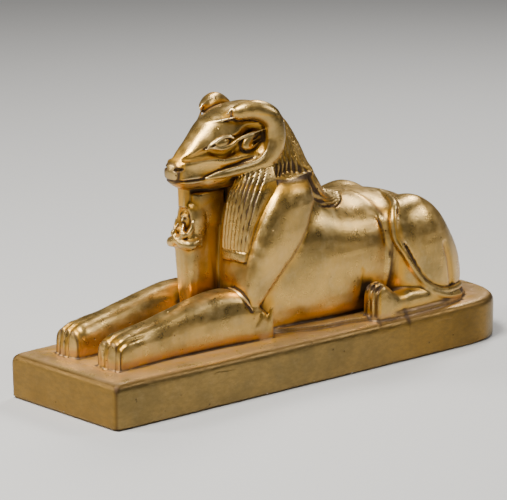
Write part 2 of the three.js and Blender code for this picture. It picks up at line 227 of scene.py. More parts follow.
@dataclass(frozen=True)
class Post(Form):
    """A form up Z: rows of z, x, half-width, front, widest and back place in y, and squareness."""

    rows: Rows
    paired: bool = False
    round_ends: float = 1.0

    def box(self) -> Box:
        """The form's box.

        Returns:
            Its lowest and its highest corner.
        """
        table = np.array(self.rows)
        return (
            ((table[:, 1] - table[:, 2]).min(), table[:, 3].min(), table[0, 0]),
            ((table[:, 1] + table[:, 2]).max(), table[:, 5].max(), table[-1, 0]),
        )

    def distance(self, at: Places) -> np.ndarray:
        """Distance to the form's skin.

        Args:
            at: the places to measure at.

        Returns:
            The distances, below zero inside.
        """
        x, y, z = at
        values = stations(self.rows)(z.ravel()).astype(np.float32)
        middle, half, front, mid, back, power = (values[:, i][None, None, :] for i in range(6))
        depth = np.where(y > mid, back - mid, mid - front)
        skin = levelled(squared_ring((x - middle) / half, (y - mid) / depth, power), at)
        ends = np.maximum(self.rows[0][0] - z, z - self.rows[-1][0]).astype(np.float32)
        return soft_max(skin, ends, self.round_ends)


@dataclass(frozen=True)
class Egg(Form):
    """An ellipsoid, leaned about X and turned about Z in degrees."""

    place: Point
    half: Point
    lean: float = 0.0
    turn: float = 0.0
    paired: bool = False

    def box(self) -> Box:
        """Lowest and highest corner of the form."""
        reach = max(self.half)
        return [c - reach for c in self.place], [c + reach for c in self.place]

    def distance(self, at: Places) -> np.ndarray:
        """Distance to the form's skin.

        Args:
            at: the places to measure at.

        Returns:
            The distances, below zero inside.
        """
        dx, dy, dz = (axis - middle for axis, middle in zip(at, self.place))
        c, s = math.cos(math.radians(self.turn)), math.sin(math.radians(self.turn))
        dx, dy = c * dx + s * dy, c * dy - s * dx
        c, s = math.cos(math.radians(self.lean)), math.sin(math.radians(self.lean))
        dy, dz = c * dy + s * dz, c * dz - s * dy
        a, b, h = self.half
        near = np.sqrt((dx / a) ** 2 + (dy / b) ** 2 + (dz / h) ** 2)
        slope = np.sqrt((dx / a**2) ** 2 + (dy / b**2) ** 2 + (dz / h**2) ** 2)
        return near * (near - 1) / np.maximum(slope, LEAST_SLOPE)


@dataclass(frozen=True)
class Roll(Form):
    """A round roll of clay along a line: rows of x, y, z and radius."""

    points: Rows
    paired: bool = False
    steps: int = 5
    flat: float = 1.0     # above 1, the roll is this much thinner across X
    reach: float = 0.6 * FAR

    def box(self) -> Box:
        """Lowest and highest corner of the form."""
        line = smooth_path(self.points, self.steps)
        return (line[:, :3] - line[:, 3:]).min(0), (line[:, :3] + line[:, 3:]).max(0)

    def distance(self, at: Places) -> np.ndarray:
        """Distance to the form's skin, not kept beyond `reach`.

        Args:
            at: the places to measure at.

        Returns:
            The distances, below zero inside.
        """
        x, y, z = at
        line = smooth_path(self.points, self.steps)
        best = np.full(np.broadcast_shapes(x.shape, y.shape, z.shape), FAR, np.float32)
        stretch = np.array([self.flat, 1, 1])
        for start, end in zip(line[:-1], line[1:]):
            reach = max(start[3], end[3]) + self.reach
            low, high = np.minimum(start, end) - reach, np.maximum(start, end) + reach
            part = tuple(
                slice(*np.searchsorted(axis.ravel(), [low[i], high[i]])) for i, axis in enumerate(at)
            )
            px, py, pz = x[part[0]], y[:, part[1]], z[:, :, part[2]]
            if not (px.size and py.size and pz.size):
                continue
            along = (end[:3] - start[:3]) * stretch
            dx = (px - start[0]) * self.flat
            dy, dz = py - start[1], pz - start[2]
            t = (dx * along[0] + dy * along[1] + dz * along[2]) / max(along @ along, LEAST_LENGTH)
            t = np.clip(t, 0, 1).astype(np.float32)
            gap = np.sqrt((dx - t * along[0]) ** 2 + (dy - t * along[1]) ** 2 + (dz - t * along[2]) ** 2)
            gap -= start[3] + t * (end[3] - start[3])
            best[part] = np.minimum(best[part], gap)
        return best


@dataclass(frozen=True)
class Block(Form):
    """A box with rounded edges."""

    low: Point
    high: Point
    edge: float = 0.8

    def box(self) -> Box:
        """Lowest and highest corner of the form."""
        return self.low, self.high

    def distance(self, at: Places) -> np.ndarray:
        """Distance to the form's skin.

        Args:
            at: the places to measure at.

        Returns:
            The distances, below zero inside.
        """
        gaps = [
            np.abs(axis - (lo + hi) / 2) - (hi - lo) / 2 + self.edge
            for axis, lo, hi in zip(at, self.low, self.high)
        ]
        outside = np.sqrt(sum(np.maximum(gap, 0) ** 2 for gap in gaps))
        inside = np.minimum(np.maximum(np.maximum(gaps[0], gaps[1]), gaps[2]), 0)
        return outside + inside - self.edge


@dataclass(frozen=True)
class Shaped(Form):
    """A form given by a function of place, inside a box."""

    low: Point
    high: Point
    measure: Callable[[Places], np.ndarray]
    paired: bool = False

    def box(self) -> Box:
        """Lowest and highest corner of the form."""
        return self.low, self.high

    def distance(self, at: Places) -> np.ndarray:
        """Distance to the form's skin."""
        return self.measure(at)


# ------------------------------------------------------------------ clay

class Face(Enum):
    """The side from which a place on the skin is looked for: the axis, and the way into the clay."""

    SIDE = (0, -1)
    FRONT = (1, 1)
    TOP = (2, -1)


class Clay:
    """A grid of distances to the skin: below zero inside, above zero outside."""

    add_margin: float = FAR - 1      # how far round a form the clay changes
    cut_margin: float = 2.0
    edge: float = 1e-4               # keeps a place inside the last cell of the grid

    def __init__(self, axes: Places) -> None:
        """Makes empty clay.

        Args:
            axes: the grid's places along x, y and z. They need not be evenly spaced, but the
                places along x are the same on both sides of the figure's middle.
        """
        self.axes = [np.asarray(axis, np.float32) for axis in axes]
        self.value = np.full([len(axis) for axis in self.axes], FAR, np.float32)

    def window(self, form: Form, margin: float) -> tuple[tuple[slice, ...], Places]:
        """The part of the grid round a form, and its places in the form's own x.

        Args:
            form: the form that will be used there.
            margin: how far the part reaches beyond the form.

        Returns:
            The slices of the grid, and its places there.
        """
        low, high = (np.array(corner, float) for corner in form.box())
        low[0], high[0] = low[0] + FIGURE_X, high[0] + FIGURE_X
        part = tuple(
            slice(*np.searchsorted(axis, [low[i] - margin, high[i] + margin]))
            for i, axis in enumerate(self.axes)
        )
        x, y, z = (axis[cut] for axis, cut in zip(self.axes, part))
        return part, [(x - FIGURE_X)[:, None, None], y[None, :, None], z[None, None, :]]

    def sides(self, form: Form) -> list[np.ndarray]:
        """The grids that a form is used on: the clay, and its mirror image for a paired form."""
        return [self.value, self.value[::-1]] if form.paired else [self.value]

    def add(self, *forms: Form, blend: float = 0.0) -> None:
        """Adds forms.

        Args:
            forms: the forms, which are added in turn.
            blend: about the size of the fillet where they meet the clay.
        """
        for form in forms:
            part, places = self.window(form, self.add_margin)
            distance = form.distance(places)
            for grid in self.sides(form):
                grid[part] = soft_min(grid[part], distance, blend)

    def cut(self, *forms: Form, blend: float = 0.0) -> None:
        """Cuts forms away.

        Args:
            forms: the forms, which are cut in turn.
            blend: about how far the edges of the cut are rounded over.
        """
        for form in forms:
            part, places = self.window(form, self.cut_margin + blend)
            distance = form.distance(places)
            for grid in self.sides(form):
                grid[part] = soft_max(grid[part], -distance, blend)

    def skin(self, face: Face, a: float, b: float) -> float:
        """Where a line from outside first meets the skin.

        Args:
            face: the side that the line comes from.
            a: the line's first fixed place, in the order x, y, z.
            b: its second fixed place.

        Returns:
            The place along the face's axis, in the figure's own x for a side.
        """
        axis, way = face.value
        fixed = [a, b]
        fixed.insert(axis, None)
        pick = [
            slice(None) if place is None
            else int(np.abs(self.axes[i] - (place + (FIGURE_X if i == 0 else 0))).argmin())
            for i, place in enumerate(fixed)
        ]
        line, places = self.value[tuple(pick)], self.axes[axis]
        if way < 0:
            line, places = line[::-1], places[::-1]
        i = int(np.argmax(line < 0))
        if i == 0:
            raise ValueError(f"no skin to meet from the {face.name.lower()} at {a:.1f}, {b:.1f}")
        t = line[i - 1] / (line[i - 1] - line[i])
        found = places[i - 1] + t * (places[i] - places[i - 1])
        return float(found - (FIGURE_X if axis == 0 else 0))

    def on_side(self, rows: Rows, lift: float = 0.0) -> list[Sequence[float]]:
        """Rows of y, z and radius laid on the left flank, `lift` outside the skin."""
        return [(self.skin(Face.SIDE, y, z) + lift, y, z, radius) for y, z, radius in rows]

    def scoop(self, *rows: Sequence[float]) -> Roll:
        """A shallow trough to cut from both flanks.

        Args:
            rows: y, z, half-width and depth along the trough.

        Returns:
            The form to cut.
        """
        points = []
        for y, z, half, depth in rows:
            radius = (half * half + depth * depth) / (2 * depth)
            points.append((self.skin(Face.SIDE, y, z) + radius - depth, y, z, radius))
        return Roll(points, paired=True)

    def sample(self, points: np.ndarray) -> np.ndarray:
        """Distances at points.

        Args:
            points: one row per point, in the plinth's own x.

        Returns:
            The distance at each point.
        """
        index, share = [], []
        for i, axis in enumerate(self.axes):
            place = np.clip(points[:, i], axis[0], axis[-1] - self.edge)
            lower = np.clip(np.searchsorted(axis, place, side="right") - 1, 0, len(axis) - 2)
            index.append(lower)
            share.append((place - axis[lower]) / (axis[lower + 1] - axis[lower]))
        total = np.zeros(len(points))
        for corner in np.ndindex(2, 2, 2):
            weight = np.ones(len(points))
            for i in range(3):
                weight *= share[i] if corner[i] else 1 - share[i]
            total += weight * self.value[tuple(index[i] + corner[i] for i in range(3))]
        return total

    def slope(self, points: np.ndarray, reach: float = 0.5) -> np.ndarray:
        """Unit directions out of the clay.

        Args:
            points: one row per point.
            reach: how far to both sides the clay is sampled.

        Returns:
            One direction per point.
        """
        grad = np.column_stack([
            self.sample(points + step) - self.sample(points - step) for step in reach * np.eye(3)
        ])
        return grad / np.maximum(np.linalg.norm(grad, axis=1, keepdims=True), LEAST_LENGTH)

    def surface(self) -> tuple[np.ndarray, np.ndarray]:
        """The clay's skin as a net of quads.

        Returns:
            The vertices, one in each cell that the skin runs through, and the faces.
        """
        value, inside = self.value, self.value < 0
        corners = [tuple(slice(c, -1 + c or None) for c in corner) for corner in np.ndindex(2, 2, 2)]
        filled = sum(inside[corner].astype(np.uint8) for corner in corners)
        active = (filled > 0) & (filled < len(corners))
        cells = np.argwhere(active)
        number = np.full(active.shape, -1, np.int32)
        number[active] = np.arange(len(cells), dtype=np.int32)
        total, count = np.zeros((len(cells), 3)), np.zeros(len(cells))
        for axis in range(3):
            others = [i for i in range(3) if i != axis]
            for offset in np.ndindex(2, 2):
                start = cells.copy()
                start[:, others] += offset
                end = start.copy()
                end[:, axis] += 1
                a, b = value[tuple(start.T)], value[tuple(end.T)]
                hit = (a < 0) != (b < 0)
                t = np.where(hit, a / np.where(hit, a - b, 1), 0)
                for i in range(3):
                    from_, to = self.axes[i][start[:, i]], self.axes[i][end[:, i]]
                    total[:, i] += np.where(hit, from_ + t * (to - from_), 0)
                count += hit
        faces = []
        for axis in range(3):
            a, b = (i for i in range(3) if i != axis)
            first = [slice(1, -1)] * 3
            first[axis] = slice(None, -1)
            second = list(first)
            second[axis] = slice(1, None)
            crossing = inside[tuple(first)] != inside[tuple(second)]
            at = np.argwhere(crossing)
            at[:, a] += 1
            at[:, b] += 1
            around = []
            for step_a, step_b in ((1, 1), (0, 1), (0, 0), (1, 0)):
                cell = at.copy()
                cell[:, a] -= step_a
                cell[:, b] -= step_b
                around.append(number[tuple(cell.T)])
            quads = np.column_stack(around)
            outward = inside[tuple(at.T)] ^ (axis == 1)
            faces.append(np.where(outward[:, None], quads, quads[:, ::-1]))
        return total / count[:, None], np.concatenate(faces)


def grid_axes(cell: float) -> list[np.ndarray]:
    """The grid's places along x, y and z: finest at the head, the king and the paws.

    Args:
        cell: size of the finest cells.

    Returns:
        Three rising arrays.
    """
    def spread(spans: Rows) -> np.ndarray:
        """The places along spans that follow on one another.

        Args:
            spans: from, to, and the size of a cell as a multiple of the finest.

        Returns:
            The places, rising.
        """
        parts = [
            np.linspace(low, high, math.ceil((high - low) / (cell * times)), endpoint=False)
            for low, high, times in spans
        ]
        return np.append(np.concatenate(parts), spans[-1][1])

    half = spread(HALF_WIDTH_SPANS)
    return [np.concatenate([-half[:0:-1], half]) + FIGURE_X, spread(LENGTH_SPANS), spread(HEIGHT_SPANS)]


# ------------------------------------------------------------------ sub-assemblies in clay

@dataclass
class Plinth:
    """The flat plinth: square in front, a little wider and rounded at the rear."""

    length: float = 259.8
    height: float = 21.75
    front_half: float = 38.4
    rear_half: float = 46.6
    rear_round: float = 40.0
    rear_power: float = 2.9
    corner: float = 2.6
    top_edge: float = 5.0
    foot_edge: float = 1.6

    def outline(self, x: np.ndarray, y: np.ndarray) -> np.ndarray:
        """Distance to the plinth's sides seen from above.

        Args:
            x: places across, in the plinth's own x.
            y: places along.

        Returns:
            The distances, below zero inside.
        """
        end = self.length / 2
        along = np.clip((y + end) / (self.length - self.rear_round), 0, 1)
        half = self.front_half + (self.rear_half - self.front_half) * along
        into = np.maximum(y - end + self.rear_round, 0) / self.rear_round
        ring = squared_ring(x / half, into, self.rear_power)[:, :, 0]
        slopes = np.gradient(ring, x.ravel(), y.ravel())
        side = ((ring - 1) / np.maximum(np.hypot(*slopes), LEAST_SLOPE))[:, :, None]
        return soft_max(side, -end - y, self.corner)

    def measure(self, at: Places) -> np.ndarray:
        """Distance to the plinth's skin.

        Args:
            at: the places to measure at.

        Returns:
            The distances, below zero inside.
        """
        x, y, z = at
        side = self.outline(x + FIGURE_X, y)
        topped = soft_max(side, z - self.height, self.top_edge)
        return soft_max(topped, -z, self.foot_edge)

    def model(self, clay: Clay) -> None:
        """Adds the plinth to the clay.

        Args:
            clay: the clay so far.
        """
        end = self.length / 2
        low = (-self.rear_half - FIGURE_X, -end, 0)
        high = (self.rear_half - FIGURE_X, end, self.height)
        clay.add(Shaped(low, high, self.measure))


@dataclass
class Pad:
    """The thin pad that the body and the hind legs lie on."""

    top: float = 24.0
    bottom: float = 14.0
    half: float = 44.0
    soft: float = 1.2
    slant: float = 0.85     # makes up for the slant of its edge where distances are measured across
    edge: Rows = (
        (-30, 22), (-12, 25), (0, 31), (24, 35), (34, 38.5), (46, 42.2), (66, 43.2), (84, 42.2),
        (98, 37), (108, 29), (115, 18), (118.4, 4),
    )

    def measure(self, at: Places) -> np.ndarray:
        """Distance to the pad's skin.

        Args:
            at: the places to measure at.

        Returns:
            The distances, below zero inside.
        """
        x, y, z = at
        half = stations(self.edge)(y.ravel())[None, :, :]
        out = np.maximum(np.abs(x) - half, np.maximum(self.edge[0][0] - y, y - self.edge[-1][0]))
        return soft_max(out * self.slant, z - self.top, self.soft)

    def model(self, clay: Clay) -> None:
        """Adds the pad to the clay.

        Args:
            clay: the clay so far.
        """
        low = (-self.half, self.edge[0][0], self.bottom)
        high = (self.half, self.edge[-1][0], self.top)
        clay.add(Shaped(low, high, self.measure), blend=1.2)


@dataclass
class LionBody:
    """The lion's trunk and chest."""

    trunk: Rows = (
        (-22, 22, 8, 60, 84, 2.4), (-5, 27, 8, 56, 88, 2.4), (14, 30.5, 8, 52, 85, 2.3),
        (32, 31.5, 8, 51, 80.2, 2.3), (50, 30.5, 8, 51, 78.8, 2.3), (67, 30, 8, 48, 77.4, 2.4),
        (84, 30, 8, 44, 72.4, 2.5), (97, 27, 10, 39, 61, 2.5), (105.4, 19, 12, 34, 48.6, 2.4),
        (109.6, 8, 18, 31, 38, 2.2),
    )
    chest: Rows = (
        (18, 0, 22, -36.4, -20, 0, 5), (45, 0, 22, -37, -18, 6, 5), (66, 0, 23, -36.6, -12, 14, 4),
        (82, 0, 22, -35, -8, 18, 2.8), (94, 0, 18, -31, -6, 16, 2.4),
    )

    def model(self, clay: Clay) -> None:
        """Adds the trunk and the chest to the clay."""
        clay.add(Billet(self.trunk))
        clay.add(Post(self.chest), blend=5)


@dataclass
class Foreleg:
    """One of the two forelegs: forearm, paw, upper arm and the spur behind the elbow."""

    x: float = 15.0
    forearm: Rows = (
        (-115.6, 4.2, 18, 25, 29, 2.6), (-114.4, 7.2, 18, 25, 32.6, 3), (-111, 8.7, 18, 25, 35.6, 3.2),
        (-104, 9, 18, 25.5, 37.4, 3), (-94, 8.6, 18, 26, 39, 2.7), (-80, 8.6, 18, 27, 42, 2.6),
        (-64, 9.6, 18, 28, 45, 2.6), (-50, 10.8, 18, 28, 46.8, 2.7), (-38, 12.2, 18, 28, 45.4, 3),
        (-30, 12.9, 18, 27, 40, 3.4), (-25, 13.1, 18, 26, 35, 4), (-22.5, 13.1, 18, 26, 33, 4.4),
    )
    upper_arm: Rows = (
        (36, 19.2, 6.0, -37.2, -33, -29, 3), (41, 19.8, 6.8, -37.6, -31, -25, 3.4),
        (47, 20.6, 7.2, -37.3, -29, -19.6, 3.6), (56, 21.6, 8.2, -35.6, -23, -12, 3.6),
        (66, 22.6, 8.8, -33, -17, -4, 3.4), (77, 22.6, 8.8, -29, -12, 3, 3),
        (86, 22.2, 8.4, -23.6, -9.4, 6, 2.5), (91.6, 21.8, 6.8, -18.8, -8.4, 4.6, 2.2),
        (95.4, 21.4, 4.2, -14.4, -7.8, 0.6, 2), (97.2, 21.2, 1.2, -9.6, -7.6, -5, 2),
    )
    spur: Rows = (
        (20, 25.6, 3, -33, -26, -22.4, 2.6), (28, 26.2, 2.2, -29, -24.6, -22.3, 2.4),
        (33, 26.8, 1.3, -25.6, -23.6, -22.3, 2.2), (37, 27.2, 0.5, -23.8, -22.9, -22.3, 2),
    )
    # The groove behind the elbow and the lip of the forearm under the arm: x, y, z, radius.
    elbow_groove: Rows = (
        (29.6, -15.6, 54, 0.8), (29.4, -21.6, 46, 1.4), (29.2, -26.6, 39.4, 1.9), (29.2, -31.4, 33, 1.7),
        (29, -34, 29.4, 0.8),
    )
    lip: Rows = (
        (14, -38.8, 46.6, 0.5), (19, -38.8, 46, 0.6), (23.4, -38.6, 44, 0.7), (26.6, -37.4, 40.6, 0.6),
        (27.8, -35.4, 37, 0.4),
    )
    left_toes: Sequence[float] = (-6.7, -0.1, 7.2)      # cuts between toes, out from the paw's middle
    right_toes: Sequence[float] = (6.0, 2.4, -1.6)
    toe_levels: Sequence[float] = (22.4, 25, 28, 31)     # of the cut's line up the front of the paw
    toe_radius: float = 1.0
    toe_length: float = 15.0
    # Back along the paw: share of the cut's length, and radius.
    toe_taper: Rows = ((0.08, 1.0), (0.3, 0.9), (0.55, 0.7), (0.8, 0.5), (1.0, 0.3))
    toe_ahead: float = 0.1      # the cut's line runs this far before the skin,
    toe_above: float = 0.15     # and this far above it

    def toe_cut(self, clay: Clay, side: int, out: float) -> Roll:
        """The cut between two toes, up the front of the paw and back along its top.

        Args:
            clay: the clay with the paw in it.
            side: 1 for the left paw, -1 for the right.
            out: place of the cut, out from the paw's middle.

        Returns:
            The form to cut.
        """
        x = side * (self.x + out)
        front = [
            (x, clay.skin(Face.FRONT, x, z) - self.toe_ahead, z, self.toe_radius) for z in self.toe_levels
        ]
        back = clay.skin(Face.FRONT, x, self.toe_levels[-1])
        top = []
        for share, radius in self.toe_taper:
            y = back + share * self.toe_length
            top.append((x, y, clay.skin(Face.TOP, x, y) + self.toe_above, radius))
        return Roll(front + top, steps=3)

    def model(self, clay: Clay) -> None:
        """Adds both forelegs to the clay.

        Args:
            clay: the clay so far.
        """
        clay.add(Post(self.upper_arm, paired=True, round_ends=0.3), blend=2.6)
        clay.add(Billet(self.forearm, self.x, paired=True), blend=0.9)
        clay.cut(Roll(self.elbow_groove, paired=True), blend=1.6)
        clay.add(Post(self.spur, paired=True), blend=0.8)
        clay.add(Roll(self.lip, paired=True), blend=0.8)
        for side, cuts in ((1, self.left_toes), (-1, self.right_toes)):
            clay.cut(*[self.toe_cut(clay, side, out) for out in cuts], blend=1.1)


@dataclass
class HindLeg:
    """A folded hind leg: thigh, the edge of the shank, and the foot that lies forward."""

    thigh_x: float = 23.0
    thigh: Rows = (
        (50.5, 5, 44, 58, 66, 2.2), (53, 10.5, 34, 56, 70, 2.3), (59, 15, 20, 51, 73.4, 2.4),
        (67, 17.2, 12, 46, 75.8, 2.4), (76, 17.6, 8, 42, 76.4, 2.4), (85, 16.6, 8, 38, 72, 2.4),
        (93, 14.2, 8, 35, 63.4, 2.3), (100.6, 10.5, 10, 33, 52, 2.2), (106.4, 5.5, 14, 31, 41, 2),
    )
    foot_x: float = 36.5
    foot: Rows = (
        (32.6, 2.6, 20, 28, 33, 2.4), (34, 4.6, 18, 28, 37.4, 2.8), (37.5, 5.8, 18, 29, 40.2, 2.8),
        (43, 6, 18, 28, 38, 2.6), (49, 5.6, 18, 27, 33.5, 2.6), (59, 5.8, 18, 27, 33.6, 2.6),
        (72, 5.6, 18, 27, 32.5, 2.6), (86, 5, 16, 26, 30, 2.4), (96, 3.4, 16, 24, 27.5, 2.2),
    )
    toes: Sequence[float] = (-2.4, 0.8, 3.6)             # cuts between toes, out from the foot's middle
    toe_levels: Sequence[float] = (24.4, 28, 32, 36)     # of the cut's line up the front of the foot
    toe_radius: float = 0.8
    toe_end: tuple[float, float] = (38.4, 0.5)           # its last y, on top of the foot, and radius
    toe_ahead: float = 0.1
    toe_above: float = 0.2
    shank: Rows = (
        (54, 56, 0.7), (57, 49.6, 1.0), (61.4, 42, 1.2), (67.6, 34.6, 1.3), (75, 29.6, 1.3),
        (84, 26.4, 1.2), (94, 25.4, 1.0),
    )
    fold: Rows = ((84, 52, 0.5), (87, 44, 1.1), (89, 36, 1.4), (90, 30, 1.2))

    def toe_cut(self, clay: Clay, x: float) -> Roll:
        """The cut between two toes, up the front of the foot and just over its top.

        Args:
            clay: the clay with the foot in it.
            x: place of the cut.

        Returns:
            The form to cut.
        """
        points = [
            (x, clay.skin(Face.FRONT, x, z) - self.toe_ahead, z, self.toe_radius) for z in self.toe_levels
        ]
        y, radius = self.toe_end
        points.append((x, y, clay.skin(Face.TOP, x, y) + self.toe_above, radius))
        return Roll(points, paired=True, steps=3)

    def model(self, clay: Clay) -> None:
        """Adds both hind legs to the clay.

        Args:
            clay: the clay so far.
        """
        clay.add(Billet(self.thigh, self.thigh_x, paired=True), blend=4)
        clay.add(Billet(self.foot, self.foot_x, paired=True), blend=1.6)
        clay.cut(*[self.toe_cut(clay, self.foot_x + out) for out in self.toes], blend=0.9)
        clay.add(Roll(clay.on_side(self.shank, lift=-0.2), paired=True), blend=1.2)
        clay.cut(Roll(clay.on_side(self.fold, lift=0.4), paired=True), blend=3)


@dataclass
class Tail:
    """The tail: from the rump round the left thigh's foot and up its front, with a crease beside it."""

    flank: Rows = (
        (70, 76.4, 1.2), (62, 74.4, 1.9), (56.4, 71, 2.1), (53.6, 65, 2.0), (53.8, 58.6, 1.8),
        (56.6, 51.5, 1.6), (61, 43.6, 1.5), (67, 36.4, 1.4), (74.4, 31.8, 1.4), (83, 29.2, 1.4),
        (92, 28.4, 1.5), (99.5, 28, 1.7),
    )
    root: Rows = (
        (28, 103, 28, 1.8), (22, 107, 28.6, 1.9), (13, 110, 30, 2.1), (4, 110, 37, 2.3),
        (0.6, 106, 47, 2.3), (0, 99, 57, 2.1), (0, 90, 65, 1.4), (0, 82, 70, 0.8),
    )
    crease: Rows = ((49.6, 69, 0.3), (49.4, 63, 0.6), (49.8, 57, 0.6), (51.6, 51, 0.4))
    # The groove beside the tail: how far behind and above its line it runs, and its radius.
    groove: Point = (2.2, 1.4, 0.5)

    def model(self, clay: Clay) -> None:
        """Adds the tail to the clay.

        Args:
            clay: the clay so far.
        """
        behind, above, radius = self.groove
        line = clay.on_side(self.flank[2:-1], lift=0.1)
        beside = Roll([(x, y + behind, z + above, radius) for x, y, z, _ in line])
        clay.add(Roll(clay.on_side(self.flank) + list(self.root)), blend=0.5)
        clay.cut(beside, blend=0.6)
        clay.cut(Roll(clay.on_side(self.crease, lift=0.2)), blend=1.0)


@dataclass
class RamHead:
    """The ram's head: muzzle, brow, eyes and ears."""

    skull: Rows = (
        (-63.2, 1.6, 101.4, 103.4, 105, 2), (-62.2, 4.2, 99.2, 103, 106.8, 2.2),
        (-59, 6.3, 96.2, 102.4, 109.6, 2.5), (-54, 7.4, 94.2, 102, 114, 2.6),
        (-47.5, 8.8, 93.2, 103.5, 120.4, 2.5), (-42, 11, 92.6, 106, 125.4, 2.4),
        (-34, 13.2, 92, 109, 129.6, 2.4), (-24, 14.6, 92, 112, 131.8, 2.4), (-12, 14.6, 93, 112, 131.6, 2.3),
        (-2, 12, 97, 112, 127, 2.2), (5, 7, 103, 112, 119, 2),
    )
    # The recess between the brow and the cheek: y, z, half-width and depth.
    side_hollow: Rows = (
        (-57.6, 109.8, 0.9, 0.4), (-53.4, 110.6, 1.7, 1.0), (-49, 111.4, 2.4, 1.6), (-45, 112.3, 3.1, 2.0),
        (-41, 113.3, 3.8, 2.3), (-36.6, 114.2, 4.5, 2.6), (-32, 115, 5.1, 2.9), (-28, 115.6, 5.5, 3.0),
    )
    pocket: Rows = (
        (-44.4, 112.2, 0.9, 0.5), (-41.6, 110.9, 1.7, 1.3), (-38, 110.3, 2.1, 1.6), (-34, 111.6, 1.8, 1.4),
        (-31, 113.4, 1.0, 0.7),
    )
    cheek: Rows = (
        (-58, 107.2, 0.6), (-54, 107.2, 0.9), (-49.8, 108, 1.1), (-45, 108.4, 1.3), (-39.7, 107.4, 1.4),
        (-33.7, 107.6, 1.4), (-27.3, 108, 1.2), (-22.4, 108.6, 1.0),
    )
    ball: Egg = Egg((9.3, -38.6, 115.8), (2.7, 4.6, 2.5), lean=14, turn=-8, paired=True)
    upper_lid: Rows = (
        (8.3, -45.8, 114.4, 0.3), (9.6, -43.4, 116.2, 0.5), (10.9, -40, 118.3, 0.6),
        (11.6, -36.6, 118.7, 0.6), (12.2, -33.4, 117.6, 0.5),
    )
    lower_lid: Rows = (
        (7.9, -47.4, 113.4, 0.3), (9.2, -44, 113.9, 0.6), (11.2, -39.8, 113.3, 0.9),
        (12.2, -35.6, 114.2, 1.0), (13, -32.4, 116, 0.9), (13.8, -29.4, 117.6, 0.7),
        (15, -25.4, 119, 0.6), (16.2, -21, 120, 0.6), (17, -17, 120.7, 0.4),
    )
    temple: Egg = Egg((18.4, -25.6, 118), (6.8, 9.6, 9.6), lean=10, paired=True)
    ear: Egg = Egg((13.4, -23, 115.6), (2.9, 7.6, 4.1), lean=20, turn=10, paired=True)
    ear_bowl: Egg = Egg((16.2, -22.4, 115), (1.7, 5.4, 2.6), lean=20, turn=10, paired=True)
    ear_ribs: Sequence[Rows] = (
        ((14.6, -27.4, 114.2, 0.35), (15.2, -22.4, 115.8, 0.4), (16, -18.6, 118, 0.3)),
        ((14.8, -26, 112.6, 0.35), (15.4, -21.6, 113.8, 0.4), (16, -18, 116, 0.3)),
    )
    nostril: Rows = ((2.6, -62.2, 104.9, 0.5), (4.2, -61.3, 104.8, 0.8), (5.6, -59.4, 105.3, 0.4))
    mouth: Rows = (
        (-60.6, 99.6, 0.45), (-57, 99.7, 0.5), (-52, 99.6, 0.5), (-48, 99.8, 0.45), (-44, 100.4, 0.3),
    )
    upper_lip: Rows = ((-60, 100.5, 0.4), (-55, 100.7, 0.5), (-49, 100.8, 0.4))
    lower_lip: Rows = ((-60, 98.6, 0.4), (-55, 98.5, 0.5), (-49, 98.9, 0.4))
    # The mouth's middle, round the front of the muzzle: places across, level and radius.
    mouth_front: Sequence[float] = (0, 1.6, 3.2)
    mouth_level: float = 99.6
    mouth_radius: float = 0.45
    forehead: Rows = (
        (2.5, -42.3, 124.6, 0.3), (6.4, -38.6, 125.4, 0.5), (9.6, -34.8, 126.6, 0.5), (12, -32, 127.4, 0.4),
    )
    collar: Rows = (
        (9.6, -34.7, 128.8, 0.6), (9.8, -33.2, 130.4, 0.7), (10, -30.4, 131.7, 0.7), (9.8, -26, 132.6, 0.5),
    )

    def model(self, clay: Clay) -> None:
        """Adds the head to the clay.

        Args:
            clay: the clay so far.
        """
        clay.add(Billet(self.skull), blend=1.2)
        clay.add(Roll(clay.on_side(self.cheek, lift=-0.6), paired=True), blend=2.2)
        clay.cut(clay.scoop(*self.side_hollow), blend=0.9)
        clay.cut(self.temple, blend=1.0)
        clay.cut(clay.scoop(*self.pocket), blend=0.9)
        clay.add(self.ball, blend=0.4)
        clay.add(self.ear, blend=0.8)
        clay.cut(self.ear_bowl, blend=0.5)
        clay.add(*[Roll(rows, paired=True) for rows in self.ear_ribs], blend=0.4)
        clay.add(Roll(self.upper_lid, paired=True), blend=0.5)
        clay.add(Roll(self.lower_lid, paired=True), blend=0.6)
        level, radius = self.mouth_level, self.mouth_radius
        front = [(x, clay.skin(Face.FRONT, x, level), level, radius) for x in self.mouth_front]
        lips = [clay.on_side(rows, lift=-0.1) for rows in (self.upper_lip, self.lower_lip)]
        clay.add(*[Roll(rows, paired=True) for rows in lips], blend=0.7)
        clay.cut(Roll(front + clay.on_side(self.mouth), paired=True), blend=0.4)
        clay.cut(Roll(self.nostril, paired=True), blend=0.4)
        clay.add(Roll(self.forehead, paired=True), blend=0.8)
        clay.add(Roll(self.collar, paired=True), blend=0.8)


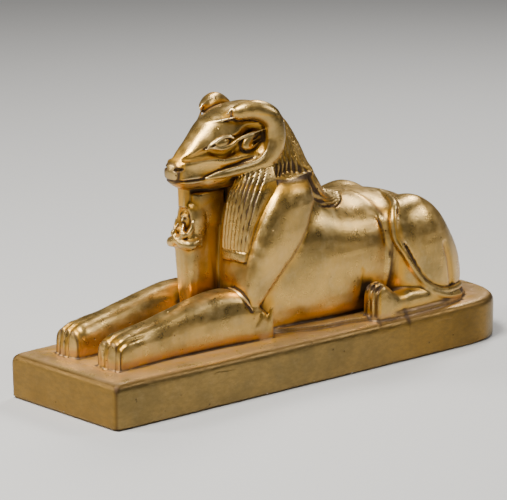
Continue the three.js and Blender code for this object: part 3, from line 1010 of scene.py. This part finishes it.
@dataclass
class Horns:
    """The horns: out of the crown, back, down round the ear and forward along the jaw."""

    curl: Rows = (
        (11.4, -29.4, 129.2, 3.7), (13, -25.6, 130, 4.4), (15, -20.6, 129.6, 4.9), (16.8, -14.6, 126, 5.3),
        (17.4, -12.2, 118.6, 5.4), (17.4, -13.2, 111.2, 5.2), (16.6, -18, 105.8, 4.4),
        (14.8, -27, 103.2, 3.3), (12.6, -38, 101.4, 2.1), (10.4, -49, 100.2, 0.6),
    )
    rims: Sequence[Rows] = (
        (
            (19.2, -17, 114.6, 0.5), (19, -18.8, 110.4, 0.7), (19, -22.4, 107.4, 0.7),
            (17.6, -27, 105.6, 0.7), (15.8, -32.7, 104.5, 0.7), (13.4, -39.2, 103.2, 0.7),
            (11.4, -44.6, 101.9, 0.6), (10, -49.4, 100.4, 0.4),
        ),
        ((16, -19, 111, 0.5), (16.6, -21, 108.8, 0.6), (16.8, -24.8, 107, 0.5), (15.6, -30, 106, 0.3)),
    )

    def model(self, clay: Clay) -> None:
        """Adds both horns to the clay."""
        clay.add(Roll(self.curl, paired=True, flat=1.05, steps=8), blend=0.5)
        clay.add(*[Roll(rows, paired=True) for rows in self.rims], blend=0.6)


@dataclass
class Wig:
    """The pleated wig: down the neck, over the upper back to a rounded hem, and the front lappets."""

    neck: Rows = (
        (78, 0, 20, -16, 2, 27, 2.5), (86, 0, 21, -18, 2, 24.6, 2.5), (93, 0, 22, -24, -4, 19.6, 2.5),
        (101, 0, 20.6, -28, -8, 15.3, 2.4), (107.2, 0, 19, -29, -9, 12.4, 2.4),
        (114.4, 0, 17.2, -30, -10, 8.4, 2.3), (121.6, 0, 15, -29, -11, 2.8, 2.2),
        (126.8, 0, 13, -24, -12, -4.4, 2.1), (128.8, 0, 9, -22, -14, -9, 2),
    )
    # Down the wig: y, z, lean of the section, half-width, depth and half-angle of its arc.
    fall: Rows = (
        (-15, 128.6, 0, 10, 8, 90), (-4, 126.8, 25, 13, 14, 90), (3, 121.6, 48, 15, 18, 90),
        (8.6, 114.4, 60, 17.2, 22, 90), (12.6, 107.2, 63, 19, 26, 90), (16, 99.8, 63, 20.4, 30, 88),
        (20.6, 91.6, 57, 22, 31, 82), (26.6, 85.2, 40, 24.4, 30, 62), (33.4, 81.8, 18, 28, 29, 40),
        (38.8, 80.6, 8, 30, 29, 25), (42, 79.9, 5, 30, 29, 14),
    )
    hem: Rows = ((-10, 21), (14, 20.6), (22, 20.2), (29, 18.4), (35, 14.6), (39.4, 10.4), (42.2, 6))
    half: float = 24.0
    front: float = -24.0
    bottom: float = 66.0
    top: float = 130.0
    hem_floor: float = 70.0     # the cloth doesn't reach lower than this
    hem_slant: float = 0.8
    hem_edge: float = 0.6
    fade: float = 2.0           # the pleats come to full depth this far above the lowest place
    thickness: float = 1.2
    pleats: int = 25
    pleat_depth: float = 0.75
    # Up the lappet: z, inner and outer x, front y at the inner and the outer edge.
    lappet: Rows = (
        (59.4, 8.2, 22.2, -38.2, -36), (64.4, 8.2, 22.8, -38.4, -35.4), (80, 9.4, 24, -38, -31.6),
        (92, 11, 24, -36, -26), (99, 12.4, 22.6, -33, -21), (104, 13, 20, -30, -18),
    )
    lappet_low: Point = (6, -40, 58)
    lappet_high: Point = (26, -16, 105)
    lappet_pleats: int = 8
    lappet_deeper: float = 1.3     # depth of its pleats, as a multiple of the others'
    lappet_furrow: float = 0.2
    band_top: float = 64.4         # its plain hem band ends here, at a cut line of this half-width
    band_line: float = 0.35
    lappet_edges: Point = (0.1, 0.6, 0.9)    # how far its corners, its sides and its front are rounded

    @staticmethod
    def furrow(phase: np.ndarray, width: float = 0.22) -> np.ndarray:
        """1 in the cut between two pleats and 0 on the pleats, once for each whole number.

        Args:
            phase: place across the pleats, counted in pleats.
            width: half the cut's width, as a share of a pleat.

        Returns:
            The depth of the cut, from 0 to 1.
        """
        off = phase - np.round(phase)
        return np.exp(-((off / width) ** 2))

    def across(self, at: Places) -> np.ndarray:
        """Place across the wig.

        Args:
            at: places in the clay.

        Returns:
            Numbers from -1 at the wig's right edge to 1 at its left.
        """
        x, y, z = at
        table = smooth_path(self.fall, 4)
        best = np.full(np.broadcast_shapes(y.shape, z.shape), np.inf)
        values = [np.zeros_like(best) for _ in range(6)]
        for start, end in zip(table[:-1], table[1:]):
            along = end[:2] - start[:2]
            t = np.clip(((y - start[0]) * along[0] + (z - start[1]) * along[1]) / (along @ along), 0, 1)
            gap = (y - start[0] - t * along[0]) ** 2 + (z - start[1] - t * along[1]) ** 2
            nearer = gap < best
            best = np.where(nearer, gap, best)
            for i in range(6):
                values[i] = np.where(nearer, start[i] + t * (end[i] - start[i]), values[i])
        anchor_y, anchor_z, lean, half, depth, reach = values
        lean, reach = np.radians(lean), np.radians(reach)
        sunk = -(y - anchor_y) * np.sin(lean) - (z - anchor_z) * np.cos(lean)
        angle = np.arctan2((x / half).astype(np.float32), (1 - sunk / depth).astype(np.float32))
        return angle / reach

    def lappet_skin(self, at: Places) -> np.ndarray:
        """Distance to the skin of the left lappet.

        Args:
            at: the places to measure at.

        Returns:
            The distances, below zero inside.
        """
        x, y, z = at
        inner, outer, inner_y, outer_y = (
            column[None, None, :] for column in stations(self.lappet)(z.ravel()).astype(np.float32).T
        )
        share = (x - inner) / (outer - inner)
        front = inner_y + (outer_y - inner_y) * np.clip(share, 0, 1) ** 2
        skin = levelled(1 + front - y, at)
        depth = self.pleat_depth * self.lappet_deeper
        grooved = depth * self.furrow(share * self.lappet_pleats, self.lappet_furrow) * (z > self.band_top)
        line = self.pleat_depth * np.exp(-(((z - self.band_top) / self.band_line) ** 2))
        skin = skin + np.maximum(grooved, line)
        sharp, soft, softest = self.lappet_edges
        sides = soft_max(inner - x, x - outer, sharp)
        ends = soft_max(self.lappet[0][0] - z, z - self.lappet[-1][0], sharp)
        fronted = soft_max(skin, soft_max(sides, ends, soft), softest)
        return soft_max(fronted, y - self.lappet_high[1], 0.5)

    def model(self, clay: Clay) -> None:
        """Adds the wig to the clay: a neck, and a layer of cloth over all that lies inside the hem.

        Args:
            clay: the clay so far.
        """
        clay.add(Post(self.neck), blend=6)
        area = Block((-self.half, self.front, self.bottom), (self.half, self.hem[-1][0], self.top))
        part, places = clay.window(area, clay.cut_margin)
        x, y, z = places
        grid = clay.value[part]
        half = stations(self.hem)(y.ravel())[None, :, :]
        hem = np.maximum(np.abs(x) - half, y - self.hem[-1][0]) * self.hem_slant
        cloth = soft_max(grid - self.thickness, np.maximum(hem, self.hem_floor - z), self.hem_edge)
        grid[:] = np.minimum(grid, cloth)
        worn = np.clip(0.5 - hem, 0, 1) * np.clip((z - self.hem_floor) / self.fade, 0, 1)
        grid += self.pleat_depth * worn * self.furrow(self.across(places) * self.pleats / 2)

    def model_lappets(self, clay: Clay) -> None:
        """Adds the front lappets to the clay."""
        clay.add(Shaped(self.lappet_low, self.lappet_high, self.lappet_skin, paired=True), blend=0.4)


@dataclass
class LittleKing:
    """The little king with folded arms between the forelegs, and the web that joins him to the chest."""

    robe: Rows = (
        (18, 0, 5.4, -57.4, -52, -44, 3), (27, 0, 5.2, -58.2, -52, -44, 3), (31, 0, 4.6, -56, -52, -44, 3),
        (50, 0, 4.9, -56.2, -52, -44, 3), (64, 0, 5.8, -57, -52, -44, 3), (72, 0, 6.6, -57.4, -52, -44, 2.8),
        (75.6, 0, 5.4, -56, -52, -44, 2.4),
    )
    headcloth: Rows = (
        (71, 0, 6.0, -53.4, -50, -44, 3), (76, 0, 6.9, -54.2, -50, -44, 3.2),
        (82, 0, 6.7, -54.6, -50, -44, 3), (86.4, 0, 5.2, -54.2, -50, -45, 2.6),
        (89.2, 0, 2.4, -52.6, -50, -47, 2.2),
    )
    face_hollow: Egg = Egg((0, -55.6, 79.4), (4.9, 3.6, 6.6))
    face: Egg = Egg((0, -52, 79.6), (3.1, 3.0, 4.6))
    nose: Rows = ((0, -54.8, 80.6, 0.35), (0, -55.4, 79.1, 0.6))
    brow: Rows = ((0.5, -54.8, 81.5, 0.3), (1.6, -54.3, 81.7, 0.35), (2.4, -53.5, 81.2, 0.3))
    eye: Egg = Egg((1.35, -54.6, 80.4), (0.8, 0.7, 0.5), paired=True)
    lips: Rows = ((0, -54.9, 77.4, 0.35), (0.9, -54.7, 77.4, 0.25))
    beard: Rows = ((0, -54.6, 75.8, 0.8), (0, -56.6, 72.6, 0.9))
    lapel: Rows = ((5.8, -53.6, 79, 0.9), (5.6, -54.6, 75.4, 1.1), (4.2, -56.4, 72.6, 1.1))
    forearm: Rows = (
        (6.6, -52.6, 69.4, 2.2), (6.4, -56.4, 68.4, 2.5), (2.4, -58, 69.4, 2.1), (-2.2, -57.6, 71.8, 1.7),
    )
    fist: Egg = Egg((3.4, -57.4, 73.2), (1.9, 1.7, 1.9), paired=True)
    crook: Rows = ((3.2, -58.2, 73.2, 0.8), (2.4, -57.2, 76, 0.7), (1.8, -56, 78, 0.5))
    robe_edge: Rows = ((1.5, -57.4, 64, 0.5), (1.4, -56.6, 50, 0.5), (1.4, -56.2, 32, 0.5))
    elbows: Block = Block((-7.2, -58.4, 66.6), (7.2, -48, 71), edge=1.0)
    web: Block = Block((-5.0, -52, 16), (5.0, -33, 93), edge=1.8)
    throat: Block = Block((-5.9, -50.6, 76), (5.9, -33, 92.4), edge=1.6)
    post: Block = Block((-2.2, -56.4, 84), (2.2, -50, 95.4), edge=0.9)

    def model(self, clay: Clay) -> None:
        """Adds the king and his web to the clay.

        Args:
            clay: the clay so far.
        """
        clay.add(self.web, blend=1.4)
        clay.add(self.throat, blend=1.0)
        clay.add(self.post, blend=0.8)
        clay.add(Post(self.robe), blend=0.9)
        clay.cut(Roll(self.robe_edge, paired=True), blend=0.5)
        clay.add(Post(self.headcloth), blend=0.6)
        clay.cut(self.face_hollow, blend=0.7)
        clay.add(self.face, blend=0.3)
        clay.cut(self.eye, blend=0.3)
        clay.add(Roll(self.nose), Roll(self.brow, paired=True), Roll(self.lips, paired=True), blend=0.3)
        clay.add(Roll(self.beard), blend=0.3)
        clay.add(Roll(self.lapel, paired=True), blend=0.6)
        clay.add(self.elbows, Roll(self.forearm, paired=True), blend=0.5)
        clay.add(self.fist, blend=0.3)
        clay.add(Roll(self.crook, paired=True), blend=0.3)


# ------------------------------------------------------------------ shader nodes

class Wire:
    """A shader socket that takes part in arithmetic: an expression on values adds its Math nodes."""

    def __init__(self, paint: "Paint", socket: bpy.types.NodeSocket) -> None:
        """Wraps a socket of a paint's node tree."""
        self.paint, self.socket = paint, socket

    def _math(self, operation: str, *values: "Wire | float") -> "Wire":
        """A Math node on values, which isn't clamped."""
        return self.paint.node("ShaderNodeMath", {"operation": operation}, dict(enumerate(values)))

    def __add__(self, other: "Wire | float") -> "Wire":
        """Sum."""
        return self._math("ADD", self, other)

    __radd__ = __add__

    def __mul__(self, other: "Wire | float") -> "Wire":
        """Product."""
        return self._math("MULTIPLY", self, other)

    __rmul__ = __mul__

    def __sub__(self, other: "Wire | float") -> "Wire":
        """Difference."""
        return self._math("SUBTRACT", self, other)

    def __rsub__(self, other: float) -> "Wire":
        """Difference from a number."""
        return self._math("SUBTRACT", other, self)

    def step(self, low: float, high: float) -> "Wire":
        """A smooth step from 0 to 1, or from 1 to 0 when `low` is above `high`.

        Args:
            low: the value where the step is still 0.
            high: the value where it has come to 1.

        Returns:
            The step.
        """
        limits = {"From Min": low, "From Max": high, "To Min": 0.0, "To Max": 1.0}
        if low > high:
            limits = {"From Min": high, "From Max": low, "To Min": 1.0, "To Max": 0.0}
        settings = {"interpolation_type": "SMOOTHSTEP"}
        return self.paint.node("ShaderNodeMapRange", settings, {"Value": self, **limits})


class Paint:
    """A material's node tree, with one method that adds any node."""

    def __init__(self, name: str) -> None:
        """Starts an empty material with its output.

        Args:
            name: the material's name.
        """
        self.material = bpy.data.materials.new(name)
        self.material.use_nodes = True
        self.tree = self.material.node_tree
        self.tree.nodes.clear()
        self.output = self.tree.nodes.new("ShaderNodeOutputMaterial")

    def node(self, kind: str, settings: dict, inputs: dict, output: str | int = 0) -> Wire:
        """Adds a node.

        Args:
            kind: the node's type.
            settings: its properties, which are set first.
            inputs: values or wires by socket name or number.
            output: the socket that is returned.

        Returns:
            The wanted output, wrapped.
        """
        node = self.tree.nodes.new(kind)
        for name, value in settings.items():
            setattr(node, name, value)
        for key, value in inputs.items():
            socket = node.inputs[key]
            if isinstance(value, Wire):
                self.tree.links.new(value.socket, socket)
            else:
                socket.default_value = value
        return Wire(self, node.outputs[output])

    def place(self) -> Wire:
        """The place on the object, in metres, at rest."""
        return self.node("ShaderNodeTexCoord", {}, {}, "Object")

    def mask(self, name: str) -> Wire:
        """A mask stored on the mesh."""
        return self.node("ShaderNodeAttribute", {"attribute_name": name}, {}, "Fac")

    def axis(self, vector: Wire, name: str) -> Wire:
        """One of a vector's numbers: X, Y or Z."""
        return self.node("ShaderNodeSeparateXYZ", {}, {0: vector}, name)

    def stretch(self, vector: Wire, by: Point) -> Wire:
        """A vector multiplied number by number."""
        return self.node("ShaderNodeVectorMath", {"operation": "MULTIPLY"}, {0: vector, 1: by})

    def noise(self, at: Wire, size: float, detail: float = 3.0, rough: float = 0.55) -> Wire:
        """Noise from 0 to 1 with features of about `size` metres."""
        inputs = {"Vector": at, "Scale": 1 / size, "Detail": detail, "Roughness": rough}
        return self.node("ShaderNodeTexNoise", {"noise_dimensions": "3D"}, inputs, "Fac")

    def specks(self, at: Wire, size: float) -> Wire:
        """Distance to scattered points, as a share of their spacing of about `size` metres."""
        inputs = {"Vector": at, "Scale": 1 / size, "Randomness": 1.0}
        return self.node("ShaderNodeTexVoronoi", {"feature": "F1"}, inputs, "Distance")

    def mix(self, share: Wire | float, a: Wire | Point, b: Wire | Point) -> Wire:
        """Mixes two colours.

        Args:
            share: 0 for the first colour, 1 for the second.
            a: the first colour.
            b: the second colour.

        Returns:
            The mixed colour.
        """
        colours = [value if isinstance(value, Wire) else (*value, 1.0) for value in (a, b)]
        settings = {"data_type": "RGBA", "blend_type": "MIX"}
        return self.node("ShaderNodeMix", settings, {0: share, 6: colours[0], 7: colours[1]}, 2)

    def bump(self, height: Wire, distance: float, strength: float = 1.0, normal: Wire | None = None) -> Wire:
        """A bumped normal.

        Args:
            height: the height, from 0 to 1.
            distance: how far 1 stands above 0, in metres.
            strength: how much of the bump shows.
            normal: the normal that is bumped, or the mesh's own.

        Returns:
            The normal.
        """
        inputs = {"Strength": strength, "Distance": distance, "Height": height}
        if normal is not None:
            inputs["Normal"] = normal
        return self.node("ShaderNodeBump", {}, inputs)

    def surface(self, inputs: dict) -> bpy.types.Material:
        """Finishes the material with one Principled shader.

        Args:
            inputs: values or wires by the shader's socket names.

        Returns:
            The material.
        """
        shader = self.node("ShaderNodeBsdfPrincipled", {}, inputs)
        self.tree.links.new(shader.socket, self.output.inputs["Surface"])
        return self.material


# ------------------------------------------------------------------ finishes

@dataclass(frozen=True)
class GiltPaint:
    """Gold paint rubbed over plaster, with light and shade painted into its colour: pale on proud skin, a
    painted highlight as well as rubbed edges; orange in hollows and brown where deeper, painted shade as well
    as paint gathered there; brown painted shade in cuts and pinholes; the plinth's sides darkened with
    painted shade.
    """

    # The pale colour is a painted highlight on proud edges as well as lighter mottling. The amber and umber
    # colours are painted shade in hollows, cuts and pinholes, partly paint gathered in the hollows.
    pale: Point = (0.90, 0.68, 0.33)
    gold: Point = (0.64, 0.40, 0.115)
    olive: Point = (0.37, 0.245, 0.08)
    amber: Point = (0.66, 0.33, 0.03)
    umber_shade: Point = (0.07, 0.035, 0.01)
    rose: Point = (0.46, 0.26, 0.12)
    # colour of the plinth's sides: painted shade and dark reflection, partly a duller paint there
    shade: Point = (0.14, 0.095, 0.032)
    plaster: Point = (0.75, 0.70, 0.62)
    metallic: float = 0.9
    rough: tuple[float, float] = (0.25, 0.42)
    # Sizes and heights in metres.
    cloud_size: float = 0.022
    mottle_size: float = 0.006
    grain_size: float = 0.0009
    pin_spacing: float = 0.0042
    pin_field_size: float = 0.012
    brush_size: float = 0.0016
    brush_stretch: Point = (0.45, 0.45, 1)
    chip_size: float = 0.003
    chip_height: tuple[float, float] = (0.0022, 0.0008)    # chips show only below these, at the foot
    foot: tuple[float, float] = (0.0215, 0.0195)           # the plinth's sides lie below these
    top_from: tuple[float, float] = (0.0205, 0.0214)       # its top and the pad lie above these
    top_to: tuple[float, float] = (0.0262, 0.0242)         # and below these
    # Bumps: depth in metres and strength.
    grain_bump: tuple[float, float] = (0.00012, 0.8)
    brush_bump: tuple[float, float] = (0.00006, 0.5)
    mottle_bump: tuple[float, float] = (0.0003, 0.35)
    pin_bump: tuple[float, float] = (0.0004, 0.9)

    def material(self) -> bpy.types.Material:
        """The paint as a material that reads the casting's masks: each step is a mask's share.

        Returns:
            The material.
        """
        paint = Paint("gilt_paint")
        place = paint.place()
        hollow, cut, proud = (paint.mask(name) for name in ("hollow", "cut", "proud"))
        height = paint.axis(place, "Z")
        cloud = paint.noise(place, self.cloud_size, detail=4)
        mottle = paint.noise(place, self.mottle_size, detail=5, rough=0.65)
        grain = paint.noise(place, self.grain_size, detail=3, rough=0.6)
        pins = paint.specks(place, self.pin_spacing)
        pin_field = paint.noise(place, self.pin_field_size, detail=2)
        pin = pins.step(0.13, 0.07) * pin_field.step(0.52, 0.66)
        brushed = paint.noise(paint.stretch(place, self.brush_stretch), self.brush_size, detail=4, rough=0.65)
        foot = height.step(*self.foot)
        top = height.step(*self.top_from) * height.step(*self.top_to)
        chip = paint.noise(place, self.chip_size, detail=2).step(0.7, 0.74) * height.step(*self.chip_height)

        base = paint.mix(cloud.step(0.35, 0.65), self.gold, self.olive)
        for share, colour in (
            # painted highlight: proud edges turn pale, partly also the rubbed edges of the paint
            (0.7 * proud.step(0.12, 0.45), self.pale),
            (0.25 * mottle.step(0.45, 0.75), self.pale),
            # painted shade and warm bounce light: hollows turn orange, then brown where deeper, partly also
            # paint that gathered there
            (0.8 * hollow.step(0.05, 0.45), self.amber),
            (0.6 * hollow.step(0.45, 0.95), self.umber_shade),
            (0.7 * top * mottle.step(0.3, 0.62), self.rose),
            # painted shade and dark reflection: the plinth's sides darkened, partly a duller paint, streaked
            # by the brushed noise
            (foot * (0.66 + 0.14 * brushed.step(0.3, 0.7)), self.shade),
            # painted shade in the narrow cuts between pleats, toes and lips
            (cut.step(0.1, 0.42), self.umber_shade),
            # painted shade in the pinholes, whose pits are only bumped
            (pin, self.umber_shade),
            (chip, self.plaster),
        ):
            base = paint.mix(share, base, colour)

        low, high = self.rough
        rough = low + (high - low) * mottle.step(0.3, 0.75) + 0.05 * foot
        rough = rough + 0.25 * hollow.step(0.2, 0.8) + 0.3 * cut.step(0.2, 0.6)
        skin = paint.bump(grain, *self.grain_bump)
        skin = paint.bump(brushed * foot, *self.brush_bump, skin)
        skin = paint.bump(mottle, *self.mottle_bump, skin)
        skin = paint.bump(1 - pin, *self.pin_bump, skin)
        return paint.surface({
            "Base Color": base,
            "Metallic": self.metallic - 0.6 * cut.step(0.2, 0.6) - 0.7 * chip - 0.35 * top,
            "Roughness": rough,
            "Normal": skin,
        })


@dataclass(frozen=True)
class PaleFloor:
    """A plain pale matt floor."""

    colour: Point = (0.55, 0.547, 0.54)
    rough: float = 0.7
    cloud_size: float = 0.4
    darker: float = 0.97      # the clouds' colour, as a share of the floor's

    def material(self) -> bpy.types.Material:
        """The floor's material, with a faint unevenness.

        Returns:
            The material.
        """
        paint = Paint("pale_floor")
        cloud = paint.noise(paint.place(), self.cloud_size, detail=2)
        shade = tuple(self.darker * part for part in self.colour)
        return paint.surface({"Base Color": paint.mix(cloud, self.colour, shade), "Roughness": self.rough})


# ------------------------------------------------------------------ casting

@dataclass
class Casting:
    """The whole statue: its clay, the mesh that skins it, and the masks that its finish reads."""

    name: str = "ram_headed_sphinx_casting"
    node: str = "ram_headed_sphinx"
    slot: str = "gilt_plaster"
    cell: float = FINE_CELL
    triangles: int = 190_000
    finish: GiltPaint = GiltPaint()
    # Settling the skin: rounds, the longest step, and how far to each side its slope is sampled.
    settle_rounds: int = 3
    settle_step: float = 0.4
    settle_reach: float = 0.35
    # The hand-finished skin's waves: depth, lengths and the level above which they are flat.
    ripple: float = 0.09
    ripple_lengths: Sequence[float] = (38, 27, 19, 14, 11, 8, 6.5, 5)
    ripple_level: float = 0.4
    seed: int = 7
    # How far out or in from the skin the masks look, and the weight of each look.
    mask_slope: float = 0.6
    hollow_looks: Rows = ((1.5, 0.2), (3, 0.35), (6, 0.45))
    edge_looks: Rows = ((0.5, 0.5), (0.9, 0.5))

    def clay(self) -> Clay:
        """Models every sub-assembly in clay.

        Returns:
            The finished clay.
        """
        clay = Clay(grid_axes(self.cell))
        wig = Wig()
        for name, model in (
            ("plinth", Plinth().model), ("body", LionBody().model), ("pad", Pad().model),
            ("wig", wig.model), ("forelegs", Foreleg().model), ("lappets", wig.model_lappets),
            ("hind legs", HindLeg().model), ("tail", Tail().model), ("head", RamHead().model),
            ("horns", Horns().model), ("little king", LittleKing().model),
        ):
            model(clay)
            LOG.info("clay: %s added", name)
        return clay

    def skin(self, clay: Clay) -> bpy.types.Mesh:
        """The clay's skin as a mesh, thinned to the number of triangles allowed.

        Args:
            clay: the finished clay.

        Returns:
            The mesh, in millimetres.
        """
        vertices, faces = clay.surface()
        mesh = bpy.data.meshes.new(self.name)
        mesh.vertices.add(len(vertices))
        mesh.vertices.foreach_set("co", vertices.astype(np.float32).ravel())
        mesh.loops.add(faces.size)
        mesh.loops.foreach_set("vertex_index", faces.astype(np.int32).ravel())
        mesh.polygons.add(len(faces))
        mesh.polygons.foreach_set("loop_start", np.arange(0, faces.size, 4, dtype=np.int32))
        mesh.update(calc_edges=True)
        LOG.info("skin: %d quads before thinning", len(faces))
        raw = bpy.data.objects.new("raw", mesh)
        bpy.context.scene.collection.objects.link(raw)
        thin = raw.modifiers.new("thin", "DECIMATE")
        thin.ratio = min(1.0, self.triangles / (2 * len(faces)))
        depsgraph = bpy.context.evaluated_depsgraph_get()
        thinned = bpy.data.meshes.new_from_object(raw.evaluated_get(depsgraph))
        bpy.data.objects.remove(raw)
        self.keep_outer_shell(thinned)
        return thinned

    def keep_outer_shell(self, mesh: bpy.types.Mesh) -> None:
        """Deletes the bubbles shut in the clay and the folds that thinning left, which are loose shells.

        Args:
            mesh: the thinned skin, which is changed in place.
        """
        work = bmesh.new()
        work.from_mesh(mesh)
        free = set(work.faces)
        shells: list[list[bmesh.types.BMFace]] = []
        while free:
            shell = [free.pop()]
            for face in shell:
                joints = (edge for edge in face.edges if len(edge.link_faces) == 2)
                near = {other for edge in joints for other in edge.link_faces} & free
                free -= near
                shell.extend(near)
            shells.append(shell)
        shells.sort(key=len)
        strays = [face for shell in shells[:-1] for face in shell]
        bmesh.ops.delete(work, geom=strays, context="FACES")
        work.to_mesh(mesh)
        work.free()
        LOG.info("skin: %d stray faces deleted", len(strays))

    def settle(self, clay: Clay, points: np.ndarray) -> np.ndarray:
        """Moves points onto the clay's skin.

        Args:
            clay: the finished clay.
            points: one row per point.

        Returns:
            The moved points.
        """
        for _ in range(self.settle_rounds):
            distance = np.clip(clay.sample(points), -self.settle_step, self.settle_step)
            points = points - clay.slope(points, self.settle_reach) * distance[:, None]
        return points

    def rippled(self, clay: Clay, points: np.ndarray) -> np.ndarray:
        """Lets points on the skin wander inwards as a hand-finished skin does.

        Args:
            clay: the finished clay.
            points: one row per point.

        Returns:
            The moved points.
        """
        dice = np.random.default_rng(self.seed)
        wander = np.zeros(len(points))
        for length in self.ripple_lengths:
            way = dice.normal(size=3)
            way *= 2 * math.pi / length / np.linalg.norm(way)
            wave = np.sin(points @ way + dice.uniform(0, 2 * math.pi))
            wander += math.sqrt(length / self.ripple_lengths[0]) * wave
        inward = np.minimum(wander, self.ripple_level) - self.ripple_level
        return points + clay.slope(points) * (self.ripple * inward)[:, None]

    def masks(self, clay: Clay, points: np.ndarray) -> dict[str, np.ndarray]:
        """Masks over the skin: how far each point lies in a hollow, in a cut, and on a proud edge, from which
        the finish paints shade and highlights.

        Args:
            clay: the finished clay.
            points: one row per point on the skin.

        Returns:
            Numbers from 0 to 1 for each point, by the mask's name.
        """
        out = clay.slope(points, self.mask_slope)

        def look(looks: Rows, way: int) -> np.ndarray:
            """How much nearer the skin is than on a flat one, looking out for 1 and in for -1."""
            seen = [way * clay.sample(points + way * reach * out) / reach for reach, _ in looks]
            return sum(weight * np.clip(1 - near, 0, 1) for (_, weight), near in zip(looks, seen))

        return {
            "hollow": look(self.hollow_looks, 1),
            "cut": look(self.edge_looks, 1),
            "proud": look(self.edge_looks, -1),
        }

    def build(self) -> bpy.types.Object:
        """Makes the casting, in metres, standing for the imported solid.

        Returns:
            The finished piece.
        """
        clay = self.clay()
        mesh = self.skin(clay)
        points = np.empty(len(mesh.vertices) * 3, np.float32)
        mesh.vertices.foreach_get("co", points)
        settled = self.settle(clay, points.reshape(-1, 3).astype(float))
        for name, values in self.masks(clay, settled).items():
            layer = mesh.attributes.new(name, "FLOAT", "POINT")
            layer.data.foreach_set("value", values.astype(np.float32))
        placed = np.clip(self.rippled(clay, settled) * MM, *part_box(self.node))
        mesh.vertices.foreach_set("co", placed.astype(np.float32).ravel())
        mesh.shade_smooth()
        mesh.update()
        mesh.materials.append(self.finish.material())
        casting = bpy.data.objects.new(self.name, mesh)
        bpy.context.scene.collection.objects.link(casting)
        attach(casting, "root")
        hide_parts(self.node)
        return casting


# ------------------------------------------------------------------ studio

@dataclass
class Studio:
    """The floor, the soft lights and the camera."""

    eye: Point = (0.92118, -0.86241, 0.35634)
    ahead: Point = (-0.7143, 0.6605, -0.2313)
    right: Point = (0.6794, 0.7338, -0.0027)
    lens: float = 189.8
    sensor: float = 36.0
    floor_half: float = 12.0
    world: Point = (0.035, 0.036, 0.04)
    # Soft boxes: name, place, the size of each, the power in watts and the colour.
    boxes: Sequence[tuple[str, Point, tuple[float, float], float, Point]] = (
        ("key", (0.05, -0.4, 0.9), (0.36, 0.36), 17.0, (1.0, 0.98, 0.93)),
        ("crown", (-0.35, 0.7, 0.85), (0.3, 0.3), 7.0, (1.0, 0.98, 0.95)),
        ("front", (-0.8, -1.0, 0.8), (0.4, 0.4), 13.0, (1.0, 0.97, 0.92)),
        ("back", (0.75, 1.0, 0.9), (0.3, 0.35), 6.0, (0.98, 0.98, 1.0)),
    )
    aim: Point = (0.0, 0.0, 0.06)

    def floor(self) -> None:
        """Makes the flat floor."""
        mesh = bpy.data.meshes.new("floor")
        h = self.floor_half
        mesh.from_pydata([(-h, -h, 0), (h, -h, 0), (h, h, 0), (-h, h, 0)], [], [(0, 1, 2, 3)])
        mesh.materials.append(PaleFloor().material())
        floor = bpy.data.objects.new("floor", mesh)
        bpy.context.scene.collection.objects.link(floor)

    def lights(self) -> None:
        """Hangs the soft boxes and sets the room's light."""
        for name, place, (width, height), power, colour in self.boxes:
            light = bpy.data.lights.new(name, "AREA")
            light.shape, light.size, light.size_y = "RECTANGLE", width, height
            light.energy, light.color = power, colour
            lamp = bpy.data.objects.new(name, light)
            lamp.location = place
            way = Vector(self.aim) - Vector(place)
            lamp.rotation_euler = way.to_track_quat("-Z", "Y").to_euler()
            bpy.context.scene.collection.objects.link(lamp)
        world = bpy.data.worlds.new("room")
        world.use_nodes = True
        world.node_tree.nodes["Background"].inputs["Color"].default_value = (*self.world, 1.0)
        bpy.context.scene.world = world

    def camera(self) -> None:
        """Sets the camera."""
        ahead = Vector(self.ahead).normalized()
        right = Vector(self.right).normalized()
        up = right.cross(ahead)
        data = bpy.data.cameras.new("camera")
        data.lens, data.sensor_width = self.lens, self.sensor
        camera = bpy.data.objects.new("camera", data)
        turn = Matrix((right, up, -ahead)).transposed().to_4x4()
        camera.matrix_world = Matrix.Translation(self.eye) @ turn
        bpy.context.scene.collection.objects.link(camera)
        bpy.context.scene.camera = camera

    def build(self) -> None:
        """Makes the whole studio."""
        self.floor()
        self.lights()
        self.camera()


def main() -> None:
    """Builds the studio and the casting."""
    logging.basicConfig(level=logging.INFO, format="%(name)s: %(message)s")
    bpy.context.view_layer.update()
    Studio().build()
    casting = Casting(cell=FINE_CELL).build()
    LOG.info("%s: %d faces, in %s", casting.name, len(casting.data.polygons), casting.active_material.name)
    bpy.context.view_layer.update()


if __name__ == "__main__":
    main()
